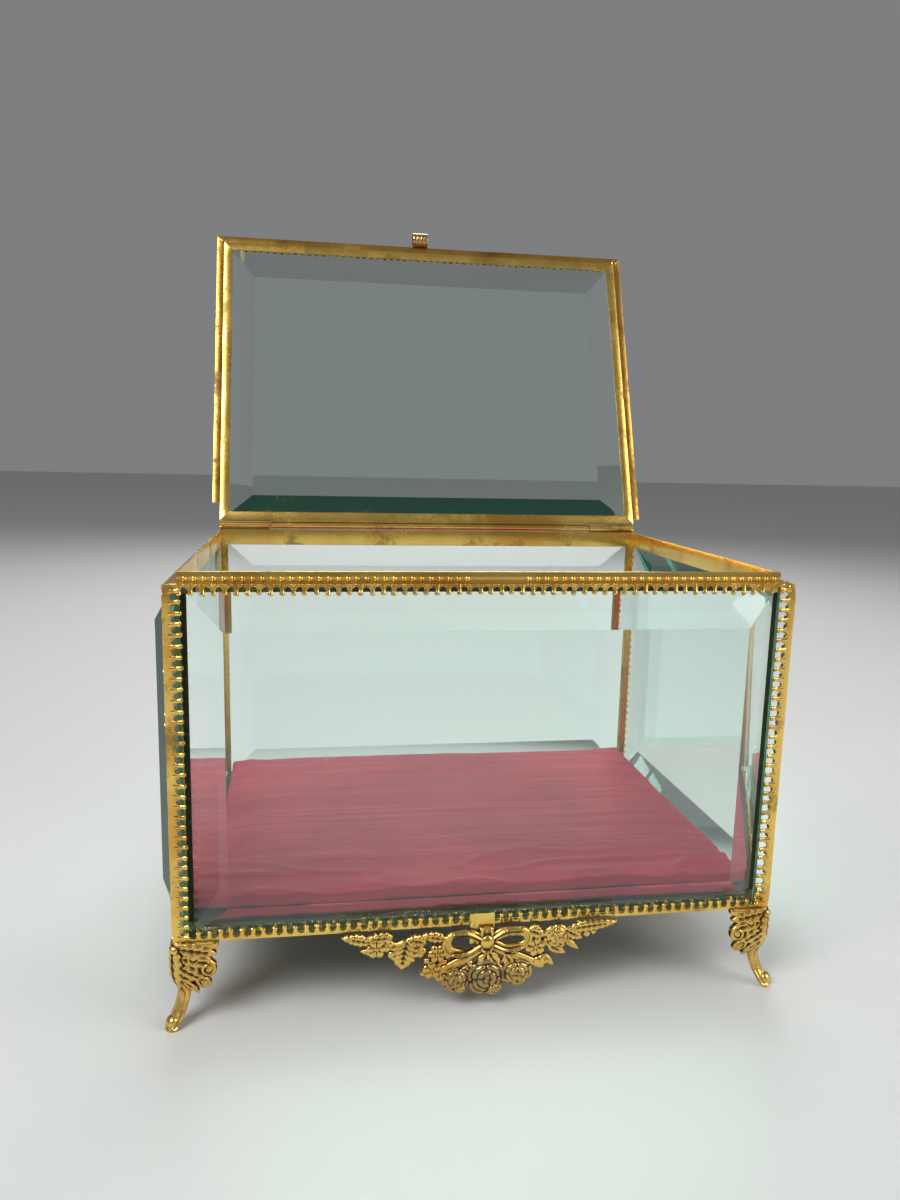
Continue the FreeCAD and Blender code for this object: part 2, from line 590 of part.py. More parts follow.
def lid_border(side):
    """Overhanging strip with an upturned edge, on the front and both sides of the lid."""
    top = "(Sizes.borderLevel + Sizes.borderHeight)"
    section = [
        ("0", "Sizes.borderLevel"),
        ("Sizes.borderWidth", "Sizes.borderLevel"),
        ("Sizes.borderWidth", top),
        ("(Sizes.borderWidth - Sizes.sheet)", top),
        ("(Sizes.borderWidth - Sizes.sheet)", "(Sizes.borderLevel + Sizes.sheet)"),
        ("0", "(Sizes.borderLevel + Sizes.sheet)"),
    ]
    label = f"lid_border_{side}"
    if side == "front":
        mitred_strip(label, side, section, LID_X, LID_Y, lid_parts)
        return
    stop = "Sizes.borderStopLeft" if side == "left" else "Sizes.borderStopRight"
    mitred_strip(
        label, side, section, LID_X, LID_Y, lid_parts, ends=("mitre", "square"), stops=("0", stop)
    )


def catch():
    """Spring tongue on the front border, ending in a rolled finger lift."""
    edge = f"({LID_Y} + Sizes.borderWidth)"
    start = "(Sizes.catchOffset - Sizes.catchWidth / 2)"
    roll_z = "(Sizes.borderLevel - Sizes.catchSheet)"
    tongue = doc.addObject("Part::Box", "catch_tongue")
    tongue.setExpression("Length", "Sizes.catchWidth")
    tongue.setExpression("Width", "Sizes.catchSheet")
    tongue.setExpression("Height", "Sizes.borderHeight + Sizes.catchSheet")
    tongue.setExpression("Placement.Base.x", start)
    tongue.setExpression("Placement.Base.y", f"-1 * {edge} - Sizes.catchSheet")
    tongue.setExpression("Placement.Base.z", roll_z)
    rings = []
    eye_radius = "Sizes.catchRadius - Sizes.catchSheet"
    for name, radius in (("catch_roll", "Sizes.catchRadius"), ("catch_eye", eye_radius)):
        roll = doc.addObject("Part::Cylinder", name)
        roll.setExpression("Radius", radius)
        roll.setExpression("Height", "Sizes.catchWidth")
        roll.Placement = FreeCAD.Placement(
            FreeCAD.Vector(0, 0, 0), FreeCAD.Rotation(FreeCAD.Vector(0, 1, 0), 90)
        )
        roll.setExpression("Placement.Base.x", start)
        roll.setExpression("Placement.Base.y", f"-1 * {edge} - Sizes.catchRadius")
        roll.setExpression("Placement.Base.z", roll_z)
        rings.append(roll)
    ring = doc.addObject("Part::Cut", "catch_ring")
    ring.Base, ring.Tool = rings
    piece = doc.addObject("Part::Fuse", "catch")
    piece.Label = "catch"
    piece.Base = tongue
    piece.Tool = ring
    doc.recompute()
    lid_parts.append(piece)


# ---------------------------------------------------------------- assembly
for side in SIDES:
    wall_pane(side)
    top_rail(side)
    bottom_rail(side)
    tray_crown(side)
    lid_rail(side)
    if side != "rear":
        lid_border(side)
base_pane()
lining()
for corner_name in CORNERS:
    corner_post(corner_name)
    inner_angle(corner_name)
    foot(corner_name)
swag()
swag_tab()
hinge()
lid_pane()
catch()
doc.recompute()

# Closed, the lid's own frame stands over the lip; it is then swung open about the hinge pin.
closed = FreeCAD.Placement(
    FreeCAD.Vector(0, value(LID_REAR) - value(LID_Y), value(LID_LEVEL)), FreeCAD.Rotation()
)
pivot = FreeCAD.Vector(0, value(HINGE_Y), value(HINGE_Z))
swing = FreeCAD.Placement(
    FreeCAD.Vector(0, 0, 0), FreeCAD.Rotation(FreeCAD.Vector(1, 0, 0), -value("Sizes.lidOpen")), pivot
)
for piece in lid_parts:
    piece.Placement = swing * closed * piece.Placement
doc.recompute()

# The model's origin is the centre, on the ground, of the box round the whole open casket.
everything = FreeCAD.BoundBox()
for piece in fixed_parts + lid_parts:
    everything.add(piece.Shape.optimalBoundingBox(True, False))
shift = FreeCAD.Placement(
    FreeCAD.Vector(-everything.Center.x, -everything.Center.y, -everything.ZMin), FreeCAD.Rotation()
)
for piece in fixed_parts + lid_parts:
    bound = {name.strip("."): text for name, text in piece.ExpressionEngine if "Placement" in name}
    if not bound:
        piece.Placement = shift * piece.Placement
    for name, text in bound.items():
        piece.setExpression(name, f"{text} + {getattr(shift.Base, name[-1])}")
doc.recompute()

for obj in doc.Objects:
    if "Invalid" in obj.State or "Error" in obj.State:
        raise RuntimeError(f"{obj.Name} did not build: {obj.State}")
os.makedirs("parts", exist_ok=True)
for piece in fixed_parts + lid_parts:
    if piece.Shape.isNull() or not piece.Shape.isValid():
        raise RuntimeError(f"{piece.Label} has no valid shape")
    piece.Shape.exportStep(f"parts/{piece.Label}.step")
print("pieces", len(fixed_parts) + len(lid_parts))
print("hinge axis", (pivot + shift.Base), "shift", shift.Base)
print("box", everything)
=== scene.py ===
import json
import math
from functools import partial

import bmesh
import bpy
import numpy as np
from mathutils import Matrix, Vector, noise


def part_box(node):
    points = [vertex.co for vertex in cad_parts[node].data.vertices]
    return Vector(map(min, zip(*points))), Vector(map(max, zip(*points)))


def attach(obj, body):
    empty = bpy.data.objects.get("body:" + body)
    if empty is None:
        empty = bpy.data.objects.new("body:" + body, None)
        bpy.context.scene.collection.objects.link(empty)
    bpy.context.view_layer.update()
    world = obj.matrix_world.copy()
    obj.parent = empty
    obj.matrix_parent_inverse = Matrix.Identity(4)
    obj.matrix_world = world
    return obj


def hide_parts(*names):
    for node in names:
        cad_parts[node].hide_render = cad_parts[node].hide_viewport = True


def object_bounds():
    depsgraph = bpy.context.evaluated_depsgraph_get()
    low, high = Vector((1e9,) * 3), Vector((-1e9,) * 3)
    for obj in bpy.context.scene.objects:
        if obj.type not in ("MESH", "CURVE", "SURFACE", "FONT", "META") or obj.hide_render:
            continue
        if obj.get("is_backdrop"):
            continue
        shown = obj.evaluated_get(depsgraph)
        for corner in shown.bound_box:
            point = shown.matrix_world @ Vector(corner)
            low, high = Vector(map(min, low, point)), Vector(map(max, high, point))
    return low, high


bl_info = {
    "name": "Glass Casket Finishes",
    "version": (1, 0, 0),
    "blender": (4, 5, 0),
    "location": "3D Viewport > Sidebar > Casket",
    "description": "Builds the toothed gilt edging, stamped feet, swag, silk cushion and glass of a casket",
    "category": "Object",
}

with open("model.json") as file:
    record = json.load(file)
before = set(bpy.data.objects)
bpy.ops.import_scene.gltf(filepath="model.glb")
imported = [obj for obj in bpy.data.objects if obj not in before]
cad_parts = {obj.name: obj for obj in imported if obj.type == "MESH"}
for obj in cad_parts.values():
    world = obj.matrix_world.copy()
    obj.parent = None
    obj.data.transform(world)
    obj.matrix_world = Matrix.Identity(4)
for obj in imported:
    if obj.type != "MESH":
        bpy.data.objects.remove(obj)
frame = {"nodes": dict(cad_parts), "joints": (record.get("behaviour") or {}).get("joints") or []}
CAD_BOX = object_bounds()
MM = 0.001

# ------------------------------------------------------------------ places read from the frame
RAIL_FRONT, RAIL_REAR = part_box("top_rail_front"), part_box("top_rail_rear")
LIP_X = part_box("lid_rail_rear")[1].x
OUT_X = RAIL_REAR[1].x
OUT_Y = (RAIL_REAR[1].y - RAIL_FRONT[0].y) / 2
MIDDLE_Y = (RAIL_REAR[1].y + RAIL_FRONT[0].y) / 2
LEDGE = OUT_X - LIP_X
LIP_Y = OUT_Y - LEDGE
LIP_TOP = RAIL_FRONT[1].z
LEDGE_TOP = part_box("corner_post_front_left")[1].z
FLANGE_FOOT = RAIL_FRONT[0].z
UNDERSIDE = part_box("bottom_rail_front")[0].z
LEG_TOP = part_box("bottom_rail_front")[1].z
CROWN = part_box("tray_crown_front")
POST_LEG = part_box("corner_post_front_left")[1].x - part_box("corner_post_front_left")[0].x
POST_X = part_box("corner_post_front_right")[1].x
POST_Y = OUT_Y + POST_X - OUT_X
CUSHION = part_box("cushion")
HINGE = Vector(frame["joints"][0]["pos_m"])
LID_OPEN = math.radians(frame["joints"][0]["range_deg"][1])
LID_SWING = Matrix.Translation(HINGE) @ Matrix.Rotation(-LID_OPEN, 4, "X") @ Matrix.Translation(-HINGE)
SIDES = ("front", "rear", "left", "right")
CORNERS = {"front_left": (-1, -1), "front_right": (1, -1), "rear_left": (-1, 1), "rear_right": (1, 1)}

# ------------------------------------------------------------------ fixed measures
TOOTH_REACH = 2.1 * MM  # of a tooth drawn at length 1
SEATING = 0.02 * MM  # by which a row of teeth is let into the face it stands on
TIP_ROOM = 0.04 * MM  # left free beyond the tips of the teeth
CLOTH_SCALE = 10.0  # the cushion is simulated this many times larger
CLOTH_FRAMES = 20


# ------------------------------------------------------------------ sizes and colours
def size(name, description, default):
    return bpy.props.FloatProperty(
        name=name, description=description, default=default, min=0.0, precision=5, unit="LENGTH"
    )


def colour(name, description, default):
    return bpy.props.FloatVectorProperty(
        name=name, description=description, default=default, subtype="COLOR", size=3, min=0.0, max=1.0
    )


def share(name, description, default):
    return bpy.props.FloatProperty(
        name=name, description=description, default=default, min=0.0, max=1.0, subtype="FACTOR"
    )


class CasketSizes(bpy.types.PropertyGroup):
    sheet: size("Sheet", "Thickness of the folded brass sheet", 0.35 * MM)
    lip_fold: size("Lip fold", "Folded lip, inside to outside", 0.75 * MM)
    tooth_pitch: size("Tooth pitch", "Distance between two teeth of the gallery", 2.6 * MM)
    tooth_width: size("Tooth width", "Width of a tooth at its rounded tip", 1.35 * MM)
    tooth_proud: size("Tooth height", "How far a tooth's tip is domed", 0.5 * MM)
    top_band: size("Top band", "Plain band above the teeth of the top rails", 0.5 * MM)
    bottom_band: size("Bottom band", "Plain band below the teeth of the bottom rails", 0.8 * MM)
    post_band: size("Post band", "Plain band beside the fold of a corner post", 2.05 * MM)
    lid_band: size("Lid band", "Plain band of the lid frame over the glass", 0.6 * MM)
    pearl_pitch: size("Pearl pitch", "Distance between two pearls of the lip", 2.2 * MM)
    pearl_radius: size("Pearl radius", "Radius of a pearl of the lip", 0.6 * MM)
    spike_pitch: size("Spike pitch", "Distance between two points of the tray edging", 3.7 * MM)
    spike_height: size("Spike height", "Height of a point of the tray edging", 2.4 * MM)
    lid_overhang: size("Lid overhang", "Front of the closed lid frame beyond the lip", 0.8 * MM)
    lid_height: size("Lid height", "Height of the lid frame", 3.496 * MM)
    lid_flange: size("Lid flange", "Underside flange of the lid frame", 3.1 * MM)
    lid_gap: size("Lid gap", "Closed lid above the lip", 0.3 * MM)
    swag_relief: size("Swag relief", "Highest relief of the swag", 1.9 * MM)
    foot_relief: size("Foot relief", "Highest relief of a foot", 1.1 * MM)
    unevenness: share("Unevenness", "How far stamped pieces stray from regular", 0.08)


class CasketFinishes(bpy.types.PropertyGroup):
    gilt: colour("Gilt", "Bright gilding", (0.92, 0.62, 0.16))
    gilt_deep: colour("Deep gilt", "Gilding that has gone orange", (0.72, 0.4, 0.08))
    # this brown colours the blotches of patina and also the painted shade in folds and recesses
    patina_and_shade: colour("Patina", "Brown dirt in folds and recesses", (0.07, 0.035, 0.012))
    stamped: colour("Stamped brass", "High spots of the stamped pieces", (0.86, 0.56, 0.15))
    tarnish: colour("Tarnish", "Grey-brown tarnish of the roses and the catch", (0.3, 0.22, 0.12))
    silk: colour("Silk", "Raspberry silk", (0.24, 0.009, 0.028))
    silk_light: colour("Silk highlight", "Lighter threads of the silk", (0.38, 0.03, 0.065))
    card: colour("Card", "Black card under the cushion", (0.008, 0.008, 0.009))
    glass_body: colour("Glass body", "What the glass lets through over its depth", (0.35, 0.82, 0.66))
    # this green also colours the painted glow given to every pane
    glass_edge_and_glow: colour("Glass edge", "Ground rim of the panes", (0.2, 0.5, 0.38))
    floor: colour("Floor", "Plain pale floor", (0.62, 0.62, 0.61))
    patina_amount: share("Patina amount", "How much of the gilding has browned", 0.62)


def sizes():
    return bpy.context.scene.casket_sizes


def finishes():
    return bpy.context.scene.casket_finishes


# ------------------------------------------------------------------ node helpers
FLOAT = "NodeSocketFloat"
POSITION = ("Position", "NodeSocketVector", (0, 0, 0))


def set_input(tree, socket, given):
    """Links an input to another node's output, or sets its value. A colour may come without its alpha."""
    if isinstance(given, bpy.types.NodeSocket):
        tree.links.new(given, socket)
    elif socket.type == "RGBA" and len(given) == 3:
        socket.default_value = (*given, 1.0)
    else:
        socket.default_value = given


def feed(tree, node, inputs):
    """Sets or links a node's inputs, each by its name or number."""
    for key, given in inputs.items():
        set_input(tree, node.inputs[key], given)


def add(tree, kind, place=(0, 0), inputs=None, **settings):
    node = tree.nodes.new(kind)
    node.location = place
    for key, setting in settings.items():
        setattr(node, key, setting)
    feed(tree, node, inputs or {})
    return node


def of_kind(sockets, kind):
    """The sockets of one kind, for nodes that use one name for several kinds."""
    return [socket for socket in sockets if socket.type == kind]


def new_group(name, inputs, outputs):
    """A shader group with its sockets: (name, kind, default) for inputs, names of numbers for outputs."""
    group = bpy.data.node_groups.new(name, "ShaderNodeTree")
    for label, kind, default in inputs:
        socket = group.interface.new_socket(label, in_out="INPUT", socket_type=kind)
        socket.default_value = default
    for label in outputs:
        group.interface.new_socket(label, in_out="OUTPUT", socket_type=FLOAT)
    return group, add(group, "NodeGroupInput", (-1000, 0)).outputs, add(group, "NodeGroupOutput", (900, 0))


def maths(tree, operation, *given, clamp=False):
    inputs = dict(enumerate(given))
    return add(tree, "ShaderNodeMath", inputs=inputs, operation=operation, use_clamp=clamp).outputs[0]


def ramp(tree, source, low, high):
    """0 below low, 1 above high, and a smooth step between them."""
    inputs = {"Value": source, "From Min": low, "From Max": high}
    return add(tree, "ShaderNodeMapRange", inputs=inputs, interpolation_type="SMOOTHSTEP").outputs["Result"]


def mixed(tree, factor, first, second):
    node = add(tree, "ShaderNodeMix", inputs={"Factor": factor}, data_type="RGBA")
    for socket, given in zip(of_kind(node.inputs, "RGBA"), (first, second)):
        set_input(tree, socket, given)
    return of_kind(node.outputs, "RGBA")[0]


def noise_at(tree, position, scale, detail=3.0, roughness=0.55, distortion=0.0):
    inputs = {"Vector": position, "Scale": scale, "Detail": detail}
    inputs |= {"Roughness": roughness, "Distortion": distortion}
    return add(tree, "ShaderNodeTexNoise", inputs=inputs).outputs["Fac"]


def strands(tree, position, scale, detail, turn=(0, 0, 0)):
    """Noise drawn out into lines by a different scale on each axis."""
    drawn = add(tree, "ShaderNodeMapping", inputs={"Vector": position, "Rotation": turn, "Scale": scale})
    return noise_at(tree, drawn.outputs["Vector"], 1.0, detail, 0.5)


# ------------------------------------------------------------------ shared effects
def patina_and_shade_group():
    """Browning of brass: blotches of patina, painted shade in the recesses and small scratches."""
    group, given, made = new_group(
        "brass_patina_and_shade",
        [POSITION, ("Recess", FLOAT, 0.0), ("Amount", FLOAT, 0.4), ("Blotch", FLOAT, 90.0)],
        ["Dirt and shade", "Warmth", "Roughness", "Height"],
    )
    position = given["Position"]
    broad = noise_at(group, position, given["Blotch"], 5.0, 0.62)
    fine = noise_at(group, position, 900.0, 4.0, 0.6)
    grain = noise_at(group, position, 2600.0, 2.0, 0.5)
    edge = maths(group, "ADD", broad, maths(group, "MULTIPLY", fine, 0.25))
    worn = maths(group, "MULTIPLY", ramp(group, edge, 0.66, 0.82), given["Amount"])
    # painted shade: the recesses given to the group are browned
    hollow = maths(group, "MULTIPLY", given["Recess"], maths(group, "ADD", 0.55, fine), clamp=True)
    dirt_and_shade = maths(group, "MAXIMUM", worn, hollow, clamp=True)
    polish = maths(group, "MULTIPLY_ADD", grain, 0.2, 0.13)
    feed(group, made, {
        "Dirt and shade": dirt_and_shade,
        "Warmth": ramp(group, noise_at(group, position, 55.0, 3.0, 0.6, 0.4), 0.42, 0.72),
        "Roughness": maths(group, "MULTIPLY_ADD", dirt_and_shade, 0.34, polish),
        "Height": maths(group, "MULTIPLY_ADD", fine, 0.7, maths(group, "MULTIPLY", grain, 0.3)),
    })
    return group


def dust_group():
    """Fine scratches, wiped smears and specks of dust on glass."""
    group, given, made = new_group(
        "glass_dust", [POSITION, ("Amount", FLOAT, 0.5)], ["Roughness", "Height"]
    )
    position = given["Position"]
    scratches = ramp(group, strands(group, position, (900.0, 60.0, 25.0), 2.0, (0.3, 0.5, 0.4)), 0.71, 0.78)
    smear = ramp(group, noise_at(group, position, 38.0, 4.0, 0.65, 0.8), 0.5, 0.8)
    specks = add(group, "ShaderNodeTexVoronoi", inputs={"Vector": position, "Scale": 420.0})
    dots = maths(group, "SUBTRACT", 1.0, ramp(group, specks.outputs["Distance"], 0.04, 0.11))
    marks = maths(group, "MULTIPLY_ADD", dots, 0.25, maths(group, "MULTIPLY", smear, 0.07))
    marks = maths(group, "MULTIPLY_ADD", scratches, 0.22, marks)
    feed(group, made, {
        "Roughness": maths(group, "MULTIPLY_ADD", marks, given["Amount"], 0.004),
        "Height": maths(group, "MULTIPLY_ADD", scratches, 0.5, dots),
    })
    return group


def silk_group():
    """Slubbed silk: long fine threads along X, cross threads, and a slow change of tone."""
    group, given, made = new_group("slubbed_silk", [POSITION], ["Thread", "Tone", "Height"])
    position = given["Position"]
    fine = strands(group, position, (40.0, 2600.0, 400.0), 2.0)
    slubs = ramp(group, strands(group, position, (9.0, 700.0, 200.0), 4.0), 0.45, 0.72)
    cross = strands(group, position, (1700.0, 60.0, 300.0), 1.0)
    thread = maths(group, "MULTIPLY_ADD", slubs, 0.45, maths(group, "MULTIPLY", fine, 0.55))
    feed(group, made, {
        "Thread": thread,
        "Tone": ramp(group, noise_at(group, position, 26.0, 3.0), 0.35, 0.7),
        "Height": maths(group, "MULTIPLY_ADD", cross, 0.35, thread),
    })
    return group


# ------------------------------------------------------------------ materials
def new_material(name):
    material = bpy.data.materials.new(name)
    material.use_nodes = True
    tree = material.node_tree
    tree.nodes.clear()
    shader = add(tree, "ShaderNodeBsdfPrincipled", (300, 0))
    output = add(tree, "ShaderNodeOutputMaterial", (700, 0), {"Surface": shader.outputs["BSDF"]})
    position = add(tree, "ShaderNodeTexCoord", (-1200, 0)).outputs["Object"]
    return material, tree, shader, output, position


def use_group(tree, name, build, inputs):
    """The outputs of a shared group, which is built the first time it is used."""
    group = bpy.data.node_groups.get(name) or build()
    return add(tree, "ShaderNodeGroup", (-700, 0), inputs, node_tree=group).outputs


def bump(tree, height, strength, distance):
    inputs = {"Height": height, "Strength": strength, "Distance": distance}
    return add(tree, "ShaderNodeBump", (50, -300), inputs).outputs["Normal"]


def brass(name, bright, deep, amount, blotch, occlusion_reach, tarnish=None):
    """Gilt brass with blotches of patina, and painted shade that browns its recesses where ambient occlusion
    finds them. With tarnish it follows a stamped piece's own layers too, and paints shade into the low parts
    of its relief.
    """
    if name in bpy.data.materials:
        return bpy.data.materials[name]
    material, tree, shader, _, position = new_material(name)
    # painted shade: the recesses that ambient occlusion finds are browned
    occlusion = add(tree, "ShaderNodeAmbientOcclusion", (-1100, -300), {"Distance": occlusion_reach}, samples=6)
    recess_shade = ramp(tree, maths(tree, "SUBTRACT", 1.0, occlusion.outputs["AO"]), 0.3, 0.95)
    if tarnish:
        # painted shade: the low parts of a stamped piece's relief are browned too
        relief = add(tree, "ShaderNodeAttribute", (-1100, -500), attribute_name="relief").outputs["Fac"]
        valley_shade = maths(tree, "SUBTRACT", 1.0, ramp(tree, relief, 0.22, 0.6))
        recess_shade = maths(tree, "MAXIMUM", maths(tree, "MULTIPLY", valley_shade, 1.1), recess_shade)
    inputs = {"Position": position, "Recess": recess_shade, "Amount": amount, "Blotch": blotch}
    patina_and_shade = use_group(tree, "brass_patina_and_shade", patina_and_shade_group, inputs)
    metal = mixed(tree, patina_and_shade["Warmth"], bright, deep)
    if tarnish:
        grey = add(tree, "ShaderNodeAttribute", (-1100, -700), attribute_name="tarnish").outputs["Fac"]
        metal = mixed(tree, maths(tree, "MULTIPLY", grey, 0.75), metal, tarnish)
    feed(tree, shader, {
        # the brown covers the patina blotches and the painted shade of the recesses
        "Base Color": mixed(tree, patina_and_shade["Dirt and shade"], metal, finishes().patina_and_shade),
        "Metallic": maths(tree, "SUBTRACT", 1.0, maths(tree, "MULTIPLY", patina_and_shade["Dirt and shade"], 0.35)),
        "Roughness": patina_and_shade["Roughness"],
        "Normal": bump(tree, patina_and_shade["Height"], 0.35, 0.00012),
    })
    return material


def gilt():
    look = finishes()
    return brass("aged_gilding", look.gilt, look.gilt_deep, look.patina_amount, 90.0, 0.0011)


def shaded_gilt():
    # painted shade: a darker copy of the gilding for the lid's border strips
    look = finishes()
    darker = [channel * 0.55 for channel in look.gilt_deep]
    return brass("shaded_gilding", look.gilt_deep, darker, 0.7, 60.0, 0.0014)


def stamped_gilt():
    look = finishes()
    return brass("stamped_gilding", look.stamped, look.gilt_deep, 0.25, 130.0, 0.0012, look.tarnish)


def dark_brass():
    look = finishes()
    return brass("dull_brass", look.tarnish, look.gilt_deep, 0.6, 200.0, 0.0009)


def pin_steel():
    return brass("worn_steel", (0.42, 0.4, 0.37), (0.3, 0.24, 0.18), 0.3, 200.0, 0.0005)


def glass():
    look = finishes()
    material, tree, shader, output, position = new_material("clear_glass")
    dust = use_group(tree, "glass_dust", dust_group, {"Position": position, "Amount": 0.5})
    feed(tree, shader, {
        "Base Color": (1.0, 1.0, 1.0),
        "Transmission Weight": 1.0,
        "IOR": 1.5,
        "Roughness": dust["Roughness"],
        "Normal": bump(tree, dust["Height"], 0.05, 0.00003),
        # stands in for light gathered by the many inner reflections near the bevels
        "Emission Color": look.glass_edge_and_glow,
        "Emission Strength": 0.015,
    })
    clear = add(tree, "ShaderNodeBsdfTransparent", (300, 250), {"Color": (0.92, 0.96, 0.94)})
    path = add(tree, "ShaderNodeLightPath", (300, 500))
    shaders = {0: path.outputs["Is Shadow Ray"], 1: shader.outputs["BSDF"], 2: clear.outputs["BSDF"]}
    either = add(tree, "ShaderNodeMixShader", (520, 100), shaders)
    through = {"Color": look.glass_body, "Density": 22.0}
    depth = add(tree, "ShaderNodeVolumeAbsorption", (300, -500), through)
    feed(tree, output, {"Surface": either.outputs["Shader"], "Volume": depth.outputs["Volume"]})
    return material


def ground_edge():
    """The narrow rim of a pane, ground matt, which gathers the green of the glass."""
    look = finishes()
    material, tree, shader, _, position = new_material("ground_edge")
    grit = noise_at(tree, position, 1500.0, 3.0, 0.6)
    streak = ramp(tree, noise_at(tree, position, 160.0, 4.0, 0.6), 0.45, 0.7)
    feed(tree, shader, {
        "Base Color": mixed(tree, streak, look.glass_edge_and_glow, [min(1.0, c * 1.7) for c in look.glass_edge_and_glow]),
        "Roughness": maths(tree, "MULTIPLY_ADD", grit, 0.25, 0.5),
        "Normal": bump(tree, grit, 0.3, 0.00005),
    })
    return material


def silk():
    look = finishes()
    material, tree, shader, _, position = new_material("raspberry_silk")
    weave = use_group(tree, "slubbed_silk", silk_group, {"Position": position})
    threads = mixed(tree, weave["Thread"], look.silk, look.silk_light)
    shade = [channel * 0.62 for channel in look.silk]
    feed(tree, shader, {
        "Base Color": mixed(tree, maths(tree, "MULTIPLY", weave["Tone"], 0.5), threads, shade),
        "Roughness": maths(tree, "MULTIPLY_ADD", weave["Thread"], -0.2, 0.62),
        "Specular IOR Level": 0.12,
        "Sheen Weight": 0.08,
        "Sheen Roughness": 0.35,
        "Sheen Tint": (1.0, 0.55, 0.6),
        "Normal": bump(tree, weave["Height"], 0.45, 0.0001),
    })
    return material


def card():
    look = finishes()
    material, tree, shader, _, position = new_material("fibrous_card")
    fibre = noise_at(tree, position, 1400.0, 4.0, 0.7)
    scuff = ramp(tree, noise_at(tree, position, 40.0, 5.0, 0.7), 0.6, 0.8)
    scuffed = [channel * 6 for channel in look.card]
    feed(tree, shader, {
        "Base Color": mixed(tree, maths(tree, "MULTIPLY", scuff, 0.5), look.card, scuffed),
        "Roughness": maths(tree, "MULTIPLY_ADD", fibre, 0.25, 0.5),
        "Normal": bump(tree, fibre, 0.3, 0.00008),
    })
    return material


# ------------------------------------------------------------------ mesh helpers
def finish_piece(name, meshes, material, body, nodes, smooth=40.0):
    """One object from several meshes, at the origin, riding on its body."""
    joined = bmesh.new()
    for mesh in meshes:
        joined.from_mesh(mesh)
    bmesh.ops.recalc_face_normals(joined, faces=joined.faces)
    data = bpy.data.meshes.new(name)
    joined.to_mesh(data)
    joined.free()
    data.shade_smooth()
    data.set_sharp_from_angle(angle=math.radians(smooth))
    data.materials.clear()
    data.materials.append(material)
    piece = bpy.data.objects.new(name, data)
    bpy.context.scene.collection.objects.link(piece)
    for face in data.polygons:
        face.material_index = 0
    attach(piece, body)
    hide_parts(*nodes)
    return piece


def gilt_piece(name, parts, nodes, body="casket"):
    finish_piece(f"gilt_{name}", parts, gilt(), body, nodes)


def stamped_piece(name, parts, nodes):
    finish_piece(f"stamped_{name}", parts, stamped_gilt(), "casket", nodes, smooth=70)


def mesh_from(points, faces):
    mesh = bpy.data.meshes.new("part")
    mesh.from_pydata([tuple(p) for p in points], [], [tuple(f) for f in faces])
    mesh.update()
    return mesh


def rounded(section, radius, steps=2):
    """A closed section with every corner rounded off."""
    points = [Vector((a, b, 0)) for a, b in section]
    count = len(points)
    soft = []
    for i, corner in enumerate(points):
        before, after = points[i - 1], points[(i + 1) % count]
        reach = min(radius, 0.45 * (before - corner).length, 0.45 * (after - corner).length)
        start = corner + (before - corner).normalized() * reach
        end = corner + (after - corner).normalized() * reach
        for k in range(steps + 1):
            t = k / steps
            soft.append((1 - t) ** 2 * start + 2 * t * (1 - t) * corner + t * t * end)
    return [(p.x, p.y) for p in soft]


def on_side(side, along, out, height, middle_y=MIDDLE_Y, half_x=LIP_X, half_y=LIP_Y):
    """A point at a distance along a side, out from its lip and up. The sides run on anticlockwise."""
    if side == "front":
        return Vector((along, middle_y - half_y - out, height))
    if side == "rear":
        return Vector((-along, middle_y + half_y + out, height))
    if side == "right":
        return Vector((half_x + out, middle_y + along, height))
    return Vector((-half_x - out, middle_y - along, height))


def half_run(side, half_y=LIP_Y):
    return LIP_X if side in ("front", "rear") else half_y


def outward(side):
    x, y = {"front": (0, -1), "rear": (0, 1), "left": (-1, 0), "right": (1, 0)}[side]
    return Vector((x, y, 0))


def tube_faces(rings, ring, start=0):
    """The faces of a tube of points, laid ring after ring from a first point, with both its ends."""
    faces = []
    for i in range(rings - 1):
        for k in range(ring):
            a, b = start + i * ring + k, start + i * ring + (k + 1) % ring
            faces.append((a, b, b + ring, a + ring))
    last = start + (rings - 1) * ring
    return faces + [tuple(start + k for k in range(ring)), tuple(last + k for k in reversed(range(ring)))]


def strip(place, reach, section, seed, stops=(None, None), wobble=0.04 * MM, step=3.5 * MM):
    """Sweeps a closed section (out, height) along a side. An end is mitred, or square at its stop."""
    count = max(2, int(2 * reach / step))
    points = []
    for i in range(count + 1):
        t = i / count
        for out, height in section:
            low = -(reach + out) if stops[0] is None else -(reach - stops[0])
            high = (reach + out) if stops[1] is None else (reach - stops[1])
            along = low + (high - low) * t
            sway = noise.noise(Vector((along * 110.0, seed, 0.3))) * wobble
            lift = noise.noise(Vector((along * 95.0, seed, 7.7))) * wobble
            points.append(place(along, out + sway, height + lift))
    return mesh_from(points, tube_faces(count + 1, len(section)))


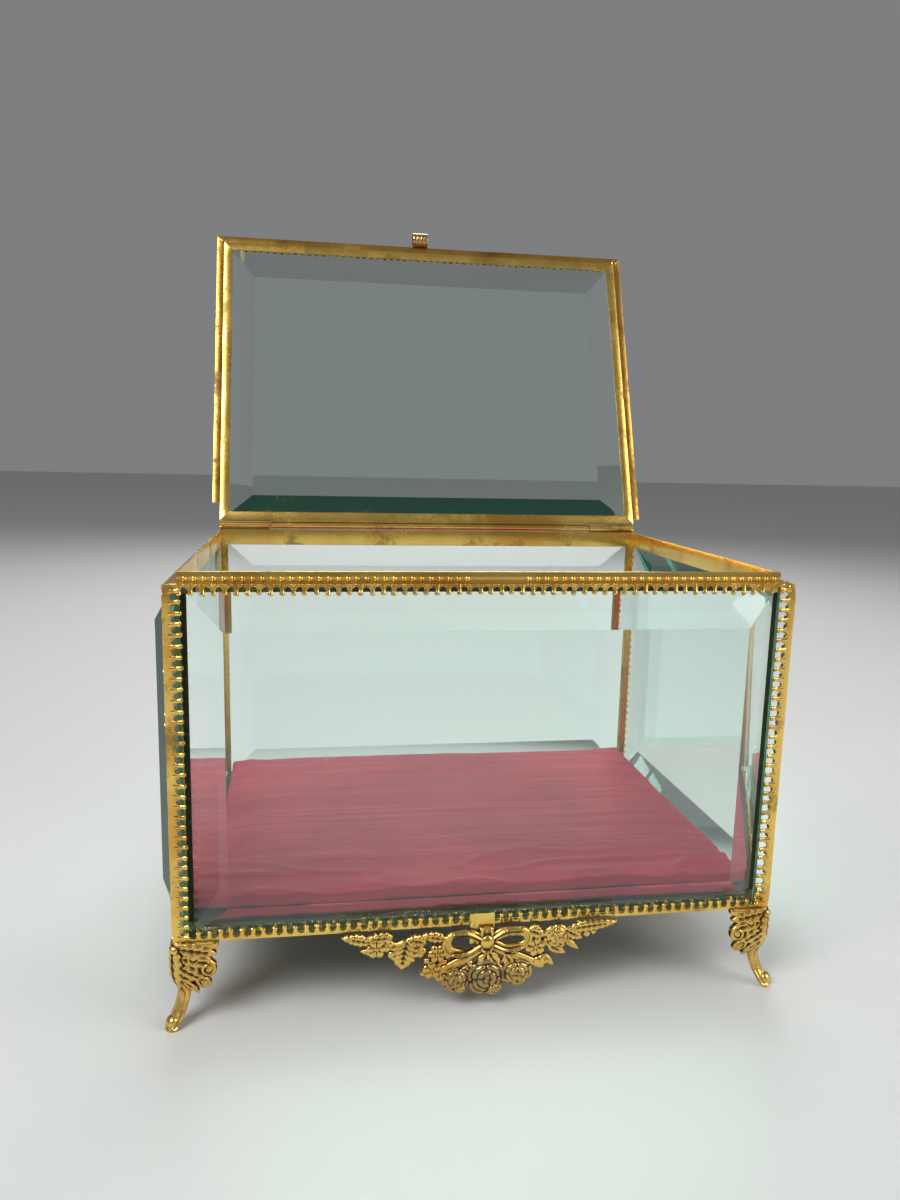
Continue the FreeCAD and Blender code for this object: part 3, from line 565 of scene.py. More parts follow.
def tooth_unit():
    """One tooth of the gallery, pointing along Z and domed towards Y, with half an arch on each side."""
    made = sizes()
    wide, proud, pitch = made.tooth_width / 2, made.tooth_proud, made.tooth_pitch
    back = -0.14 * MM
    points = []
    stations = [  # level, width and dome, as shares of the tooth's own
        (-0.3, 0.8, 0.3), (0.35, 0.72, 0.42), (0.62, 0.82, 0.7),
        (0.84, 1.0, 1.0), (0.96, 0.72, 0.8), (1.02, 0.3, 0.25),
    ]
    profile = ((-1, None), (-0.86, 0.42), (-0.5, 0.85), (0, 1), (0.5, 0.85), (0.86, 0.42), (1, None))
    for level, width, dome in stations:
        for across, high in profile:
            proud_here = back if high is None else high * dome * proud
            points.append((across * width * wide, proud_here, level * TOOTH_REACH))
    faces = tube_faces(len(stations), len(profile))
    thick, rings = 0.16 * MM, 4
    corners = ((-1, -1.2), (1, -1.2), (0.7, 1.2), (-0.7, 1.2))
    for sign in (-1, 1):
        start = len(points)
        centre, radius = sign * pitch / 2, pitch / 2 - 0.62 * wide
        for i in range(rings):
            angle = math.radians(90 * i / (rings - 1))
            bend = Vector((-sign * math.sin(angle), 0, -math.cos(angle)))
            middle = Vector((centre, 0.1 * MM, 0.75 * MM)) + bend * radius
            for outward_part, high in corners:
                points.append(middle + bend * outward_part * thick + Vector((0, high * thick, 0)))
        faces += tube_faces(rings, len(corners), start)
    return mesh_from(points, faces)


def pearl_unit():
    """A small domed pearl, standing up along Y."""
    radius = sizes().pearl_radius
    around = 9
    levels = ((-0.25, 1.0), (0.2, 0.97), (0.55, 0.74), (0.72, 0.36))
    points = []
    for level, width in levels:
        for k in range(around):
            angle = 2 * math.pi * k / around
            x, z = math.cos(angle) * width * radius, math.sin(angle) * width * radius
            points.append((x, level * radius, z))
    return mesh_from(points, tube_faces(len(levels), around))


def spike_unit():
    """One point of the tray edging: a bell with a sharp tip, ridged down its middle."""
    made = sizes()
    half, tall = made.spike_pitch * 0.5, made.spike_height
    outline = [(1.0, -0.15), (1.0, 0.12), (0.62, 0.24), (0.42, 0.42), (0.3, 0.62), (0.12, 0.84), (0.0, 1.0)]
    edge = outline + [(-x, z) for x, z in reversed(outline[:-1])]
    count = len(edge)
    front, back = 0.16 * MM, -0.16 * MM
    points = [(x * half, level, z * tall) for level in (front * 0.4, back) for x, z in edge]
    ridge = len(points)
    points += [(0, front * 2.2, z * tall) for z in (-0.15, 0.3, 0.62)]
    faces = [(i, i + 1, count + i + 1, count + i) for i in range(count - 1)]
    faces.append((count - 1, 0, count, 2 * count - 1))
    faces.append(tuple(range(count, 2 * count)))
    right = [
        (0, 1, ridge), (1, 2, ridge + 1, ridge), (2, 3, ridge + 1),
        (3, 4, ridge + 2, ridge + 1), (4, 5, ridge + 2), (5, 6, ridge + 2),
    ]
    faces += right
    faces += [tuple((count - 1 - v) if v < count else v for v in face) for face in right]
    faces.append((count - 1, 0, ridge))
    return mesh_from(points, faces)


# ------------------------------------------------------------------ repeated edging
def chance(tree, data_type, kind, low, high, seed):
    """A value between two others, drawn anew for each copy of the unit."""
    node = add(tree, "FunctionNodeRandomValue", (-300, -500), {"Seed": seed}, data_type=data_type)
    for socket, given in zip(of_kind(node.inputs, kind), (low, high)):
        set_input(tree, socket, given)
    return of_kind(node.outputs, kind)[0]


def edging_tree():
    """Repeats a unit along a path: its X follows the path and its Z points where it is told."""
    if "repeated_edging" in bpy.data.node_groups:
        return bpy.data.node_groups["repeated_edging"]
    tree = bpy.data.node_groups.new("repeated_edging", "GeometryNodeTree")
    tree.is_modifier = True
    for name, kind, default in (
        ("Path", "Geometry", None), ("Unit", "Object", None), ("Count", "Int", 10),
        ("Pointing", "Vector", (0, 0, 1)), ("Length", "Float", 1.0), ("Unevenness", "Float", 0.05),
        ("Seed", "Int", 1), ("Material", "Material", None),
    ):
        socket = tree.interface.new_socket(name, in_out="INPUT", socket_type=f"NodeSocket{kind}")
        if default is not None:
            socket.default_value = default
    tree.interface.new_socket("Edging", in_out="OUTPUT", socket_type="NodeSocketGeometry")
    given = add(tree, "NodeGroupInput", (-900, 0)).outputs
    uneven, seed = given["Unevenness"], given["Seed"]
    curve = add(tree, "GeometryNodeMeshToCurve", (-700, 200), {"Mesh": given["Path"]}).outputs["Curve"]
    even = add(tree, "GeometryNodeResampleCurve", (-500, 200), {"Curve": curve, "Count": given["Count"]})
    evenly = {"Curve": even.outputs["Curve"]}
    spots = add(tree, "GeometryNodeCurveToPoints", (-300, 200), evenly, mode="EVALUATED").outputs
    axes = {"Primary Axis": spots["Tangent"], "Secondary Axis": given["Pointing"]}
    turn = add(tree, "FunctionNodeAxesToRotation", (-100, 0), axes, primary_axis="X", secondary_axis="Z")
    wide = maths(tree, "MULTIPLY", uneven, 1.4)
    lean = chance(tree, "FLOAT_VECTOR", "VECTOR", maths(tree, "MULTIPLY", wide, -1.0), wide, seed)
    tilt = add(tree, "FunctionNodeEulerToRotation", (-100, -400), {"Euler": lean})
    turns = {"Rotation": turn.outputs["Rotation"], "Rotate By": tilt.outputs["Rotation"]}
    turned = add(tree, "FunctionNodeRotateRotation", (100, -100), turns, rotation_space="LOCAL")
    least, most = maths(tree, "SUBTRACT", 1.0, uneven), maths(tree, "ADD", 1.0, uneven)
    swell = chance(tree, "FLOAT", "VALUE", least, most, seed)
    stretches = {0: 1.0, 1: swell, 2: maths(tree, "MULTIPLY", swell, given["Length"])}
    unit = add(tree, "GeometryNodeObjectInfo", (-300, -200), {"Object": given["Unit"]})
    copies = add(tree, "GeometryNodeInstanceOnPoints", (300, 100), {
        "Points": spots["Points"],
        "Instance": unit.outputs["Geometry"],
        "Rotation": turned.outputs["Rotation"],
        "Scale": add(tree, "ShaderNodeCombineXYZ", (100, -700), stretches).outputs[0],
    })
    real = add(tree, "GeometryNodeRealizeInstances", (500, 100), {"Geometry": copies.outputs["Instances"]})
    coating = {"Geometry": real.outputs["Geometry"], "Material": given["Material"]}
    coat = add(tree, "GeometryNodeSetMaterial", (700, 100), coating)
    add(tree, "NodeGroupOutput", (1100, 0), {"Edging": coat.outputs["Geometry"]})
    return tree


UNITS = {}


def unit_object(kind):
    if kind not in UNITS:
        mesh = {"tooth": tooth_unit, "pearl": pearl_unit, "spike": spike_unit}[kind]()
        shell = bmesh.new()
        shell.from_mesh(mesh)
        bmesh.ops.recalc_face_normals(shell, faces=shell.faces)
        shell.to_mesh(mesh)
        shell.free()
        UNITS[kind] = bpy.data.objects.new(f"unit_{kind}", mesh)
        bpy.context.scene.collection.objects.link(UNITS[kind])
    return UNITS[kind]


def row(kind, start, end, out, pointing, seed, length=1.0):
    """A row of units from start to end, each facing out and pointing one way."""
    made = sizes()
    pitch = {"tooth": made.tooth_pitch, "pearl": made.pearl_pitch, "spike": made.spike_pitch}[kind]
    if (end - start).dot(out.cross(pointing)) < 0:
        start, end = end, start
    direction = (end - start).normalized()
    count = max(2, round((end - start).length / pitch))
    margin = (end - start).length / count / 2
    path = mesh_from([start + direction * margin, end - direction * margin], [])
    path.edges.add(1)
    path.edges[0].vertices = (0, 1)
    path.update()
    holder = bpy.data.objects.new("edging_path", path)
    bpy.context.scene.collection.objects.link(holder)
    tree = edging_tree()
    modifier = holder.modifiers.new("edging", "NODES")
    modifier.node_group = tree
    sockets = {s.name: s.identifier for s in tree.interface.items_tree if s.in_out == "INPUT"}
    for label, given in (
        ("Unit", unit_object(kind)), ("Count", count), ("Pointing", tuple(pointing)), ("Length", length),
        ("Unevenness", made.unevenness), ("Seed", seed), ("Material", gilt()),
    ):
        modifier[sockets[label]] = given
    graph = bpy.context.evaluated_depsgraph_get()
    edging = bpy.data.meshes.new_from_object(holder.evaluated_get(graph), depsgraph=graph)
    holder.modifiers.clear()
    bpy.data.objects.remove(holder)
    return edging


def clear_units():
    for unit in UNITS.values():
        bpy.data.objects.remove(unit)
    UNITS.clear()


# ------------------------------------------------------------------ rails
def gallery(side, level, tips, seed):
    """The teeth on a rail's outer face, from a level to their tips, between the bands of the posts."""
    run = half_run(side) + LEDGE - sizes().post_band
    start, end = (on_side(side, sign * run, LEDGE - SEATING, level) for sign in (-1, 1))
    pointing = Vector((0, 0, math.copysign(1, tips - level)))
    length = (abs(tips - level) - TIP_ROOM) / TOOTH_REACH
    return row("tooth", start, end, outward(side), pointing, seed, length)


def top_rail(side, seed):
    made = sizes()
    sheet, fold = made.sheet, made.lip_fold
    band = LEDGE_TOP - made.top_band
    section = [
        (-fold, FLANGE_FOOT), (sheet - fold, FLANGE_FOOT), (sheet - fold, LEDGE_TOP - sheet),
        (LEDGE - sheet, LEDGE_TOP - sheet), (LEDGE - sheet, band), (LEDGE, band), (LEDGE, LEDGE_TOP),
        (0.0, LEDGE_TOP), (0.08 * MM, (LEDGE_TOP + LIP_TOP) / 2), (0.0, LIP_TOP), (-fold, LIP_TOP),
    ]
    place, reach = partial(on_side, side), half_run(side)
    parts = [strip(place, reach, rounded(section, 0.14 * MM), seed), gallery(side, band, FLANGE_FOOT, seed)]
    level = LEDGE_TOP + 0.36 * (LIP_TOP - LEDGE_TOP)
    # the pearls of the front stop on both sides of its middle
    gap = (-5.0 * MM, 7.0 * MM)
    spans = [(-reach, gap[0]), (gap[1], reach)] if side == "front" else [(-reach, reach)]
    for low, high in spans:
        start, end = (place(along, 0.06 * MM, level) for along in (low + 0.6 * MM, high - 0.6 * MM))
        parts.append(row("pearl", start, end, outward(side), Vector((0, 0, -1)), seed + 5))
    gilt_piece(f"top_rail_{side}", parts, [f"top_rail_{side}"])


def bottom_rail(side, seed):
    made = sizes()
    sheet = made.sheet
    low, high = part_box("bottom_rail_front")
    shelf = high.y - low.y
    band = UNDERSIDE + made.bottom_band
    section = [
        (LEDGE - shelf, UNDERSIDE), (LEDGE, UNDERSIDE), (LEDGE, band), (LEDGE - sheet, band),
        (LEDGE - sheet, UNDERSIDE + sheet), (LEDGE - shelf, UNDERSIDE + sheet),
    ]
    folded = strip(partial(on_side, side), half_run(side), rounded(section, 0.12 * MM), seed)
    gilt_piece(f"bottom_rail_{side}", [folded, gallery(side, band, LEG_TOP, seed)], [f"bottom_rail_{side}"])


def tray_crown(side, seed):
    made = sizes()
    inner, outer = -made.lip_fold - 0.1 * MM, -made.lip_fold - 0.1 * MM + made.sheet
    low, high = CROWN[0].z, CROWN[1].z - made.spike_height
    place, reach = partial(on_side, side), half_run(side)
    section = [(inner, low), (outer, low), (outer, high + 0.1 * MM), (inner, high + 0.1 * MM)]
    start, end = (place(sign * (reach + inner - 0.5 * MM), (inner + outer) / 2, high) for sign in (-1, 1))
    parts = [
        strip(place, reach, section, seed, wobble=0.0),
        row("spike", start, end, outward(side), Vector((0, 0, 1)), seed, 0.97),
    ]
    gilt_piece(f"tray_crown_{side}", parts, [f"tray_crown_{side}"])


def corner_post(name, sign_x, sign_y, seed):
    """Two plain bands folded round the corner, with teeth on their inner edges."""
    made = sizes()
    band, sheet = made.post_band, made.sheet
    low, high = UNDERSIDE, LEDGE_TOP
    plan = [(0, 0), (-band, 0), (-band, -sheet), (-sheet, -sheet), (-sheet, -band), (0, -band)]
    soft = rounded(plan, 0.16 * MM)
    outer = Vector((sign_x * POST_X, MIDDLE_Y + sign_y * POST_Y, 0))
    count = 26
    points = []
    for i in range(count + 1):
        t = i / count
        height = low + (high - low) * t
        pinch = 0.25 * MM * max(0.0, 1 - min(t, 1 - t) * count / 0.8)
        for a, b in soft:
            sway = noise.noise(Vector((height * 120.0, seed, 1.0))) * 0.05 * MM
            points.append(outer + Vector((sign_x * (a - pinch + sway), sign_y * (b - pinch + sway), height)))
    parts = [mesh_from(points, tube_faces(count + 1, len(soft)))]
    length = (POST_LEG - band - TIP_ROOM) / TOOTH_REACH
    inset, end_room = 0.03 * MM, 0.2 * MM
    beside_x = Vector((sign_x * (POST_X - band), outer.y - sign_y * inset, 0))
    beside_y = Vector((outer.x - sign_x * inset, MIDDLE_Y + sign_y * (POST_Y - band), 0))
    for out, pointing, corner in (
        (Vector((0, sign_y, 0)), Vector((-sign_x, 0, 0)), beside_x),
        (Vector((sign_x, 0, 0)), Vector((0, -sign_y, 0)), beside_y),
    ):
        start, end = (corner + Vector((0, 0, level)) for level in (low + end_room, high - end_room))
        parts.append(row("tooth", start, end, out, pointing, seed + int(pointing.x), length))
    gilt_piece(f"post_{name}", parts, [f"corner_post_{name}"])


# ------------------------------------------------------------------ stamped relief
class Relief:
    """Heights of a stamped plate over a flat grid, in millimetres, made of petals, leaves and bands."""

    def __init__(self, low_u, high_u, low_v, high_v, step):
        self.step = step
        columns, rows = np.arange(low_u, high_u + step, step), np.arange(low_v, high_v + step, step)
        self.u, self.v = np.meshgrid(columns, rows)
        self.height = np.zeros_like(self.u)
        self.inside = np.full_like(self.u, -9.0)
        self.grey = np.zeros_like(self.u)

    def lay(self, inside, height, grey=0.0):
        """Lays a form over what is there; it hides lower ground where it stands higher."""
        over = (inside > 0) & (height > self.height)
        self.height = np.where(over, height, self.height)
        self.grey = np.where(over, grey, self.grey)
        self.inside = np.maximum(self.inside, inside)

    def polar(self, u, v, turn=0.0):
        du, dv = self.u - u, self.v - v
        return np.hypot(du, dv), np.arctan2(dv, du) + turn

    def blossom(self, u, v, radius, petals, high, base=0.3, turn=0.0):
        """An open flower: round petals with a groove between them and a beaded eye."""
        far, angle = self.polar(u, v, turn)
        lobe = np.abs(np.cos(petals * angle / 2))
        edge = radius * (0.74 + 0.26 * lobe**0.6)
        near = far / edge
        bowl = np.clip(1 - near**2, 0, 1) ** 0.5
        cupped = 0.45 + 0.55 * np.clip(near * 1.7, 0, 1)
        petal = base + (high - base) * cupped * bowl * (0.55 + 0.45 * lobe**0.7)
        eye = np.clip(1 - (far / (0.27 * radius)) ** 2, 0, 1) ** 0.5 * high * 0.85
        self.lay(edge - far, np.maximum(petal, eye + 0.2 * base))

    def rose(self, u, v, radius, high, grey=0.0, turn=0.0, squash=1.0):
        """A cabbage rose: rings of cupped petals, each ring over the one outside it, round a rolled bud."""
        du, dv = self.u - u, (self.v - v) / squash
        far, angle = np.hypot(du, dv), np.arctan2(dv, du) + turn
        for share, petals, lift in ((1.0, 5, 0.0), (0.74, 4, 0.3), (0.48, 3, 0.56)):
            lobe = np.abs(np.cos(petals * (angle + 1.3 * lift * petals) / 2))
            edge = radius * share * (0.86 + 0.14 * lobe**0.5)
            near = np.clip(far / edge, 0, 1)
            cup = 0.32 * near**2 - 0.3 * np.clip((near - 0.86) / 0.14, 0, 1) ** 2
            split = 0.3 * np.exp(-((lobe / 0.2) ** 2)) * near
            dome = 0.3 * np.sqrt(np.clip(1 - (far / radius) ** 2, 0, 1))
            self.lay(edge - far, 0.35 + high * (lift + cup + dome - split), grey)
        bud = 0.24 * radius
        roll = 0.5 + 0.5 * np.cos(2 * angle + 7.0 * far / radius)
        self.lay(bud - far, 0.35 + high * (0.95 + 0.22 * roll - 0.3 * (far / bud) ** 2), grey)

    def leaf(self, u0, v0, u1, v1, width, high, veins=5, base=0.25, bend=0.0):
        """A pointed leaf from its stalk to its tip, ridged, with a sunk midrib and slanting veins."""
        run = np.hypot(u1 - u0, v1 - v0)
        cu, cv = (u1 - u0) / run, (v1 - v0) / run
        t = ((self.u - u0) * cu + (self.v - v0) * cv) / run
        across = -(self.u - u0) * cv + (self.v - v0) * cu - bend * np.sin(np.pi * np.clip(t, 0, 1))
        half = width / 2 * np.sin(np.pi * np.clip(t, 0, 1) ** 0.72) ** 0.8
        half = half * (1 + 0.1 * np.cos(2 * np.pi * veins * t))
        near = np.abs(across) / np.maximum(half, 1e-6)
        arch = np.clip(1 - near**2.2, 0, 1) ** 0.6
        groove = 1 - 0.5 * np.exp(-((across / (0.09 * width + 0.08)) ** 2))
        ribs = 1 + 0.16 * np.cos(2 * np.pi * (veins * t - 1.1 * near))
        inside = np.where((t > 0) & (t < 1), half - np.abs(across), -1.0)
        self.lay(inside, base + (high - base) * arch * groove * ribs)

    def band(self, points, width, high, base=0.2, rim=0.35, taper=0.0):
        """A ribbon or stem along a line of points, with raised edges. Its bends are rounded off."""
        for _ in range(2):
            inner = []
            for (ax, ay), (bx, by) in zip(points, points[1:]):
                inner += [(s * ax + (1 - s) * bx, s * ay + (1 - s) * by) for s in (0.75, 0.25)]
            points = [points[0], *inner, points[-1]]
        best = np.full_like(self.u, 99.0)
        along = np.zeros_like(self.u)
        total = sum(math.dist(a, b) for a, b in zip(points, points[1:]))
        done = 0.0
        for (ax, ay), (bx, by) in zip(points, points[1:]):
            length = math.dist((ax, ay), (bx, by))
            t = np.clip(((self.u - ax) * (bx - ax) + (self.v - ay) * (by - ay)) / length**2, 0, 1)
            far = np.hypot(self.u - ax - t * (bx - ax), self.v - ay - t * (by - ay))
            closer = far < best
            best = np.where(closer, far, best)
            along = np.where(closer, (done + t * length) / total, along)
            done += length
        half = width / 2 * (1 - taper * along)
        near = best / np.maximum(half, 1e-6)
        edge = rim * np.exp(-(((near - 0.72) / 0.16) ** 2))
        profile = (1 - rim) * np.clip(1 - near**2, 0, 1) ** 0.5 + edge
        self.lay(half - best, base + (high - base) * profile)

    def bead(self, u, v, radius, high):
        far, _ = self.polar(u, v)
        self.lay(radius - far, 0.15 + high * np.clip(1 - (far / radius) ** 2, 0, 1) ** 0.5)

    def scroll(self, u, v, radius, high, hand, turns=1.6):
        """A volute: a ridge that winds in to an eye."""
        far, angle = self.polar(u, v)
        near = np.clip(far / radius, 0, 1)
        phase = (near * turns - hand * angle / (2 * np.pi)) % 1.0
        ridge = 0.5 + 0.5 * np.cos(2 * np.pi * (phase - 0.5))
        eye = np.clip(1 - (far / (0.28 * radius)) ** 2, 0, 1) ** 0.5
        height = 0.3 + (high - 0.3) * np.maximum((0.35 + 0.65 * ridge) * np.clip(1.25 - near**3, 0, 1), eye)
        self.lay(radius - far, height)

    def pierce(self, u, v, half_u, half_v, turn=0.0):
        """Cuts a rounded opening."""
        du, dv = self.u - u, self.v - v
        a = (du * math.cos(turn) + dv * math.sin(turn)) / half_u
        b = (-du * math.sin(turn) + dv * math.cos(turn)) / half_v
        far = (np.abs(a) ** 3 + np.abs(b) ** 3) ** (1 / 3)
        self.inside = np.minimum(self.inside, (far - 1) * min(half_u, half_v))

    def shell(self, place, thick, hollow):
        """A closed shell: the relief in front, its hollow behind, and a wall round every edge."""
        rows, columns = self.u.shape
        inside = self.inside
        kept = (inside[:-1, :-1] + inside[1:, :-1] + inside[:-1, 1:] + inside[1:, 1:]) > 0
        grad_v, grad_u = np.gradient(inside, self.step)
        used = np.zeros((rows, columns), int)
        for dr, dc in ((0, 0), (1, 0), (0, 1), (1, 1)):
            used[dr : dr + rows - 1, dc : dc + columns - 1] += kept
        rim = (used > 0) & (used < 4)
        steep = np.maximum(grad_u**2 + grad_v**2, 0.2)
        shift = np.clip(-inside, -0.8 * self.step, 0.8 * self.step)
        flat_u = np.where(rim, self.u + shift * grad_u / steep, self.u)
        flat_v = np.where(rim, self.v + shift * grad_v / steep, self.v)
        front_height = np.where(rim, np.minimum(self.height, 0.45), self.height)
        numbers = -np.ones((rows, columns), int)
        spots = np.argwhere(used > 0)
        numbers[used > 0] = np.arange(len(spots))
        count = len(spots)
        us, vs, hs = (grid[used > 0] for grid in (flat_u, flat_v, front_height))
        points = [place(u, v, thick + h) for u, v, h in zip(us, vs, hs)]
        points += [place(u, v, hollow * max(0.0, h - 0.15)) for u, v, h in zip(us, vs, hs)]
        faces, edges = [], {}
        for r, c in np.argwhere(kept):
            loop = [numbers[r, c], numbers[r, c + 1], numbers[r + 1, c + 1], numbers[r + 1, c]]
            faces.append(tuple(loop))
            faces.append(tuple(count + n for n in reversed(loop)))
            for a, b in zip(loop, loop[1:] + loop[:1]):
                if (b, a) in edges:
                    del edges[(b, a)]
                else:
                    edges[(a, b)] = True
        faces += [(b, a, count + a, count + b) for a, b in edges]
        mesh = mesh_from(points, faces)
        around = self.height
        for _ in range(2):
            padded = np.pad(around, 3, mode="edge")
            around = sum(padded[3 + d : 3 + d + rows, 3:-3] for d in range(-3, 4)) / 7
            padded = np.pad(around, 3, mode="edge")
            around = sum(padded[3:-3, 3 + d : 3 + d + columns] for d in range(-3, 4)) / 7
        # how far each point stands above its neighbours; the brass paints shade into the low ones
        standing = np.clip(0.5 + (self.height - around) / 0.5, 0, 1)
        for label, shown in (("relief", standing[used > 0]), ("tarnish", self.grey[used > 0])):
            layer = mesh.attributes.new(label, "FLOAT", "POINT")
            layer.data.foreach_set("value", np.concatenate([shown, shown]).astype(np.float32))
        return mesh


def swag_relief():
    """The swag: a bow over three roses, with blossoms and leaves out to both tips."""
    art = Relief(-37.4, 35.4, 0.05, 19.3, 0.2)
    # bow: loops, tails and knot
    left_loop = [(-1.2, 3.0), (-5.0, 1.6), (-9.0, 2.2), (-10.6, 4.4), (-9.0, 6.6), (-5.0, 6.6), (-1.4, 4.6)]
    right_loop = [(1.6, 3.0), (5.0, 1.4), (9.0, 1.4), (11.4, 3.4), (9.4, 5.8), (5.4, 6.6), (1.8, 4.8)]
    art.band(left_loop, 2.9, 1.15)
    art.band(right_loop, 2.8, 1.1)
    art.band([(-0.8, 5.0), (-4.0, 7.6), (-8.0, 9.6), (-12.2, 11.6)], 2.6, 0.95, taper=0.25)
    art.band([(1.4, 5.0), (5.0, 7.2), (9.2, 8.8), (14.4, 11.4)], 2.6, 0.95, taper=0.3)
    art.band([(0.1, 0.3), (0.2, 5.6)], 3.9, 1.3, rim=0.45)
    art.bead(0.2, 3.9, 2.1, 1.75)
    art.leaf(0.4, 7.0, -1.8, 12.5, 3.4, 0.9, veins=3)
    art.leaf(0.4, 6.5, 4.0, 12.2, 3.2, 0.9, veins=3)
    art.leaf(-6.0, 8.6, -3.5, 12.0, 3.2, 0.8, veins=4)
    art.leaf(5.0, 8.0, 7.4, 11.2, 3.6, 0.85, veins=4)
    # roses
    art.rose(-7.9, 14.1, 3.9, 1.35, grey=0.75, turn=0.6, squash=0.92)
    art.rose(8.3, 13.0, 4.3, 1.35, grey=0.55, turn=2.4, squash=0.9)
    art.rose(0.2, 13.9, 5.3, 1.5, grey=0.95, turn=4.0, squash=0.98)
    art.rose(2.1, 16.7, 2.4, 1.55, grey=0.6, turn=1.0)
    art.rose(-6.6, 16.4, 1.7, 1.3, grey=0.3, turn=2.0)
    # left wing
    art.blossom(-12.6, 6.6, 2.6, 6, 1.25)
    art.blossom(-14.0, 11.0, 2.5, 5, 1.2, turn=0.4)
    art.leaf(-12.5, 11.5, -17.4, 11.9, 2.4, 0.9)
    art.leaf(-12.0, 12.0, -12.4, 14.4, 2.3, 0.8)
    art.bead(-10.0, 7.4, 0.8, 0.75)
    art.bead(-10.8, 9.0, 0.75, 0.7)
    art.bead(-11.8, 9.4, 0.6, 0.6)
    art.bead(-15.4, 8.4, 0.8, 0.7)
    art.blossom(-17.3, 5.6, 1.8, 5, 1.0)
    art.leaf(-10.6, 2.6, -17.0, 1.3, 2.8, 0.9)
    art.leaf(-15.5, 3.3, -20.5, 2.0, 3.2, 0.95)
    art.leaf(-20.4, 2.2, -21.8, 10.3, 7.6, 1.05, veins=6, bend=0.2)
    art.blossom(-25.8, 3.2, 2.0, 5, 0.9)
    art.blossom(-28.2, 4.1, 2.7, 6, 1.2)
    art.bead(-24.4, 6.0, 1.0, 0.7)
    art.leaf(-24.0, 1.2, -31.0, 1.5, 2.8, 0.85)
    art.leaf(-29.5, 2.3, -37.1, 0.7, 3.0, 0.85, veins=6)
    art.leaf(-27.0, 5.2, -32.4, 4.6, 2.2, 0.8)
    # right wing
    art.leaf(11.0, 1.4, 15.5, 3.4, 3.8, 0.95)
    art.blossom(13.1, 6.2, 2.9, 6, 1.25, turn=0.3)
    art.bead(14.3, 10.7, 1.7, 1.0)
    art.blossom(14.5, 10.6, 1.9, 5, 1.15)
    art.leaf(15.2, 8.6, 18.2, 12.0, 1.9, 0.8)
    art.rose(18.7, 3.9, 3.7, 1.05, turn=1.2, squash=0.95)
    art.leaf(16.4, 6.2, 21.2, 8.6, 2.6, 0.85)
    art.leaf(20.5, 4.4, 24.8, 7.8, 1.8, 0.8)
    art.leaf(20.8, 2.0, 25.6, 4.8, 3.6, 0.85)
    art.leaf(22.0, 1.9, 35.2, 0.7, 3.3, 0.85, veins=9)
    art.bead(26.8, 3.6, 0.9, 0.65)
    art.bead(28.6, 3.2, 0.7, 0.6)
    # openings of the bow, and a bright edge round its loops
    art.pierce(-5.9, 4.2, 3.2, 1.75, 0.3)
    art.pierce(7.0, 3.9, 2.9, 1.05, -0.05)
    art.pierce(5.3, 6.95, 1.5, 0.42, 0.6)
    for line, high in (
        ([(-1.2, 3.1), (-5.0, 1.0), (-8.6, 1.3)], 1.55),
        ([(1.4, 3.2), (5.0, 0.9), (9.4, 1.0)], 1.5),
        ([(-1.6, 4.9), (-5.0, 7.0), (-8.6, 7.0)], 1.45),
        ([(2.0, 5.0), (5.4, 6.9), (9.2, 6.2)], 1.4),
    ):
        art.band(line, 0.8, high, rim=0.0)
    art.pierce(-6.2, 10.6, 1.3, 0.42, -0.5)
    return art


def swag():
    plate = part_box("front_swag")
    scale = sizes().swag_relief / (2.1 * MM)
    middle = (plate[0].x + plate[1].x) / 2 + 1.0 * MM
    art = swag_relief()

    def place(u, v, high):
        return (middle + u * MM, plate[1].y - high * MM * scale, plate[1].z - v * MM)

    mesh = art.shell(place, 0.45, 0.75)
    stamped_piece("swag", [mesh], ["front_swag"])


def foot_relief():
    """A foot unrolled round its corner: acanthus wings, a long fluted ankle and a curled toe."""
    art = Relief(-10.6, 10.6, 0.0, 22.1, 0.2)
    for sign in (-1, 1):
        art.band([(0.0, 21.9), (sign * 9.3, 21.7)], 2.6, 0.75, rim=0.1)
        art.leaf(sign * 0.8, 20.5, sign * 1.3, 3.0, 3.6, 0.95, veins=4, bend=-0.5 * sign)
        art.leaf(sign * 1.2, 21.0, sign * 10.1, 19.2, 4.6, 0.95, veins=5)
        art.leaf(sign * 1.6, 18.5, sign * 10.0, 16.4, 4.8, 1.0, veins=4)
        art.scroll(sign * 7.9, 15.3, 2.1, 1.1, hand=sign)
        art.leaf(sign * 1.4, 16.0, sign * 7.4, 11.6, 4.4, 1.0, veins=4)
        art.scroll(sign * 6.0, 11.6, 2.0, 1.05, hand=-sign)
        art.scroll(sign * 4.4, 18.4, 1.7, 1.1, hand=sign)
        art.leaf(sign * 0.8, 13.6, sign * 4.2, 8.2, 2.6, 0.95, veins=3)
        flute = [(sign * 0.4, 17.0), (sign * 1.3, 12.0), (sign * 1.2, 7.0), (sign * 1.3, 1.2)]
        art.band(flute, 1.7, 1.0, rim=0.4)
        art.bead(sign * 5.6, 21.0, 0.9, 0.8)
        art.bead(sign * 8.2, 20.6, 0.8, 0.75)
    art.band([(0.0, 21.5), (0.0, 12.0), (0.0, 0.6)], 2.6, 0.9, rim=0.25)
    art.leaf(0.0, 21.3, 0.0, 8.6, 3.9, 1.35, veins=6)
    art.bead(0.0, 20.6, 1.2, 1.3)
    return art


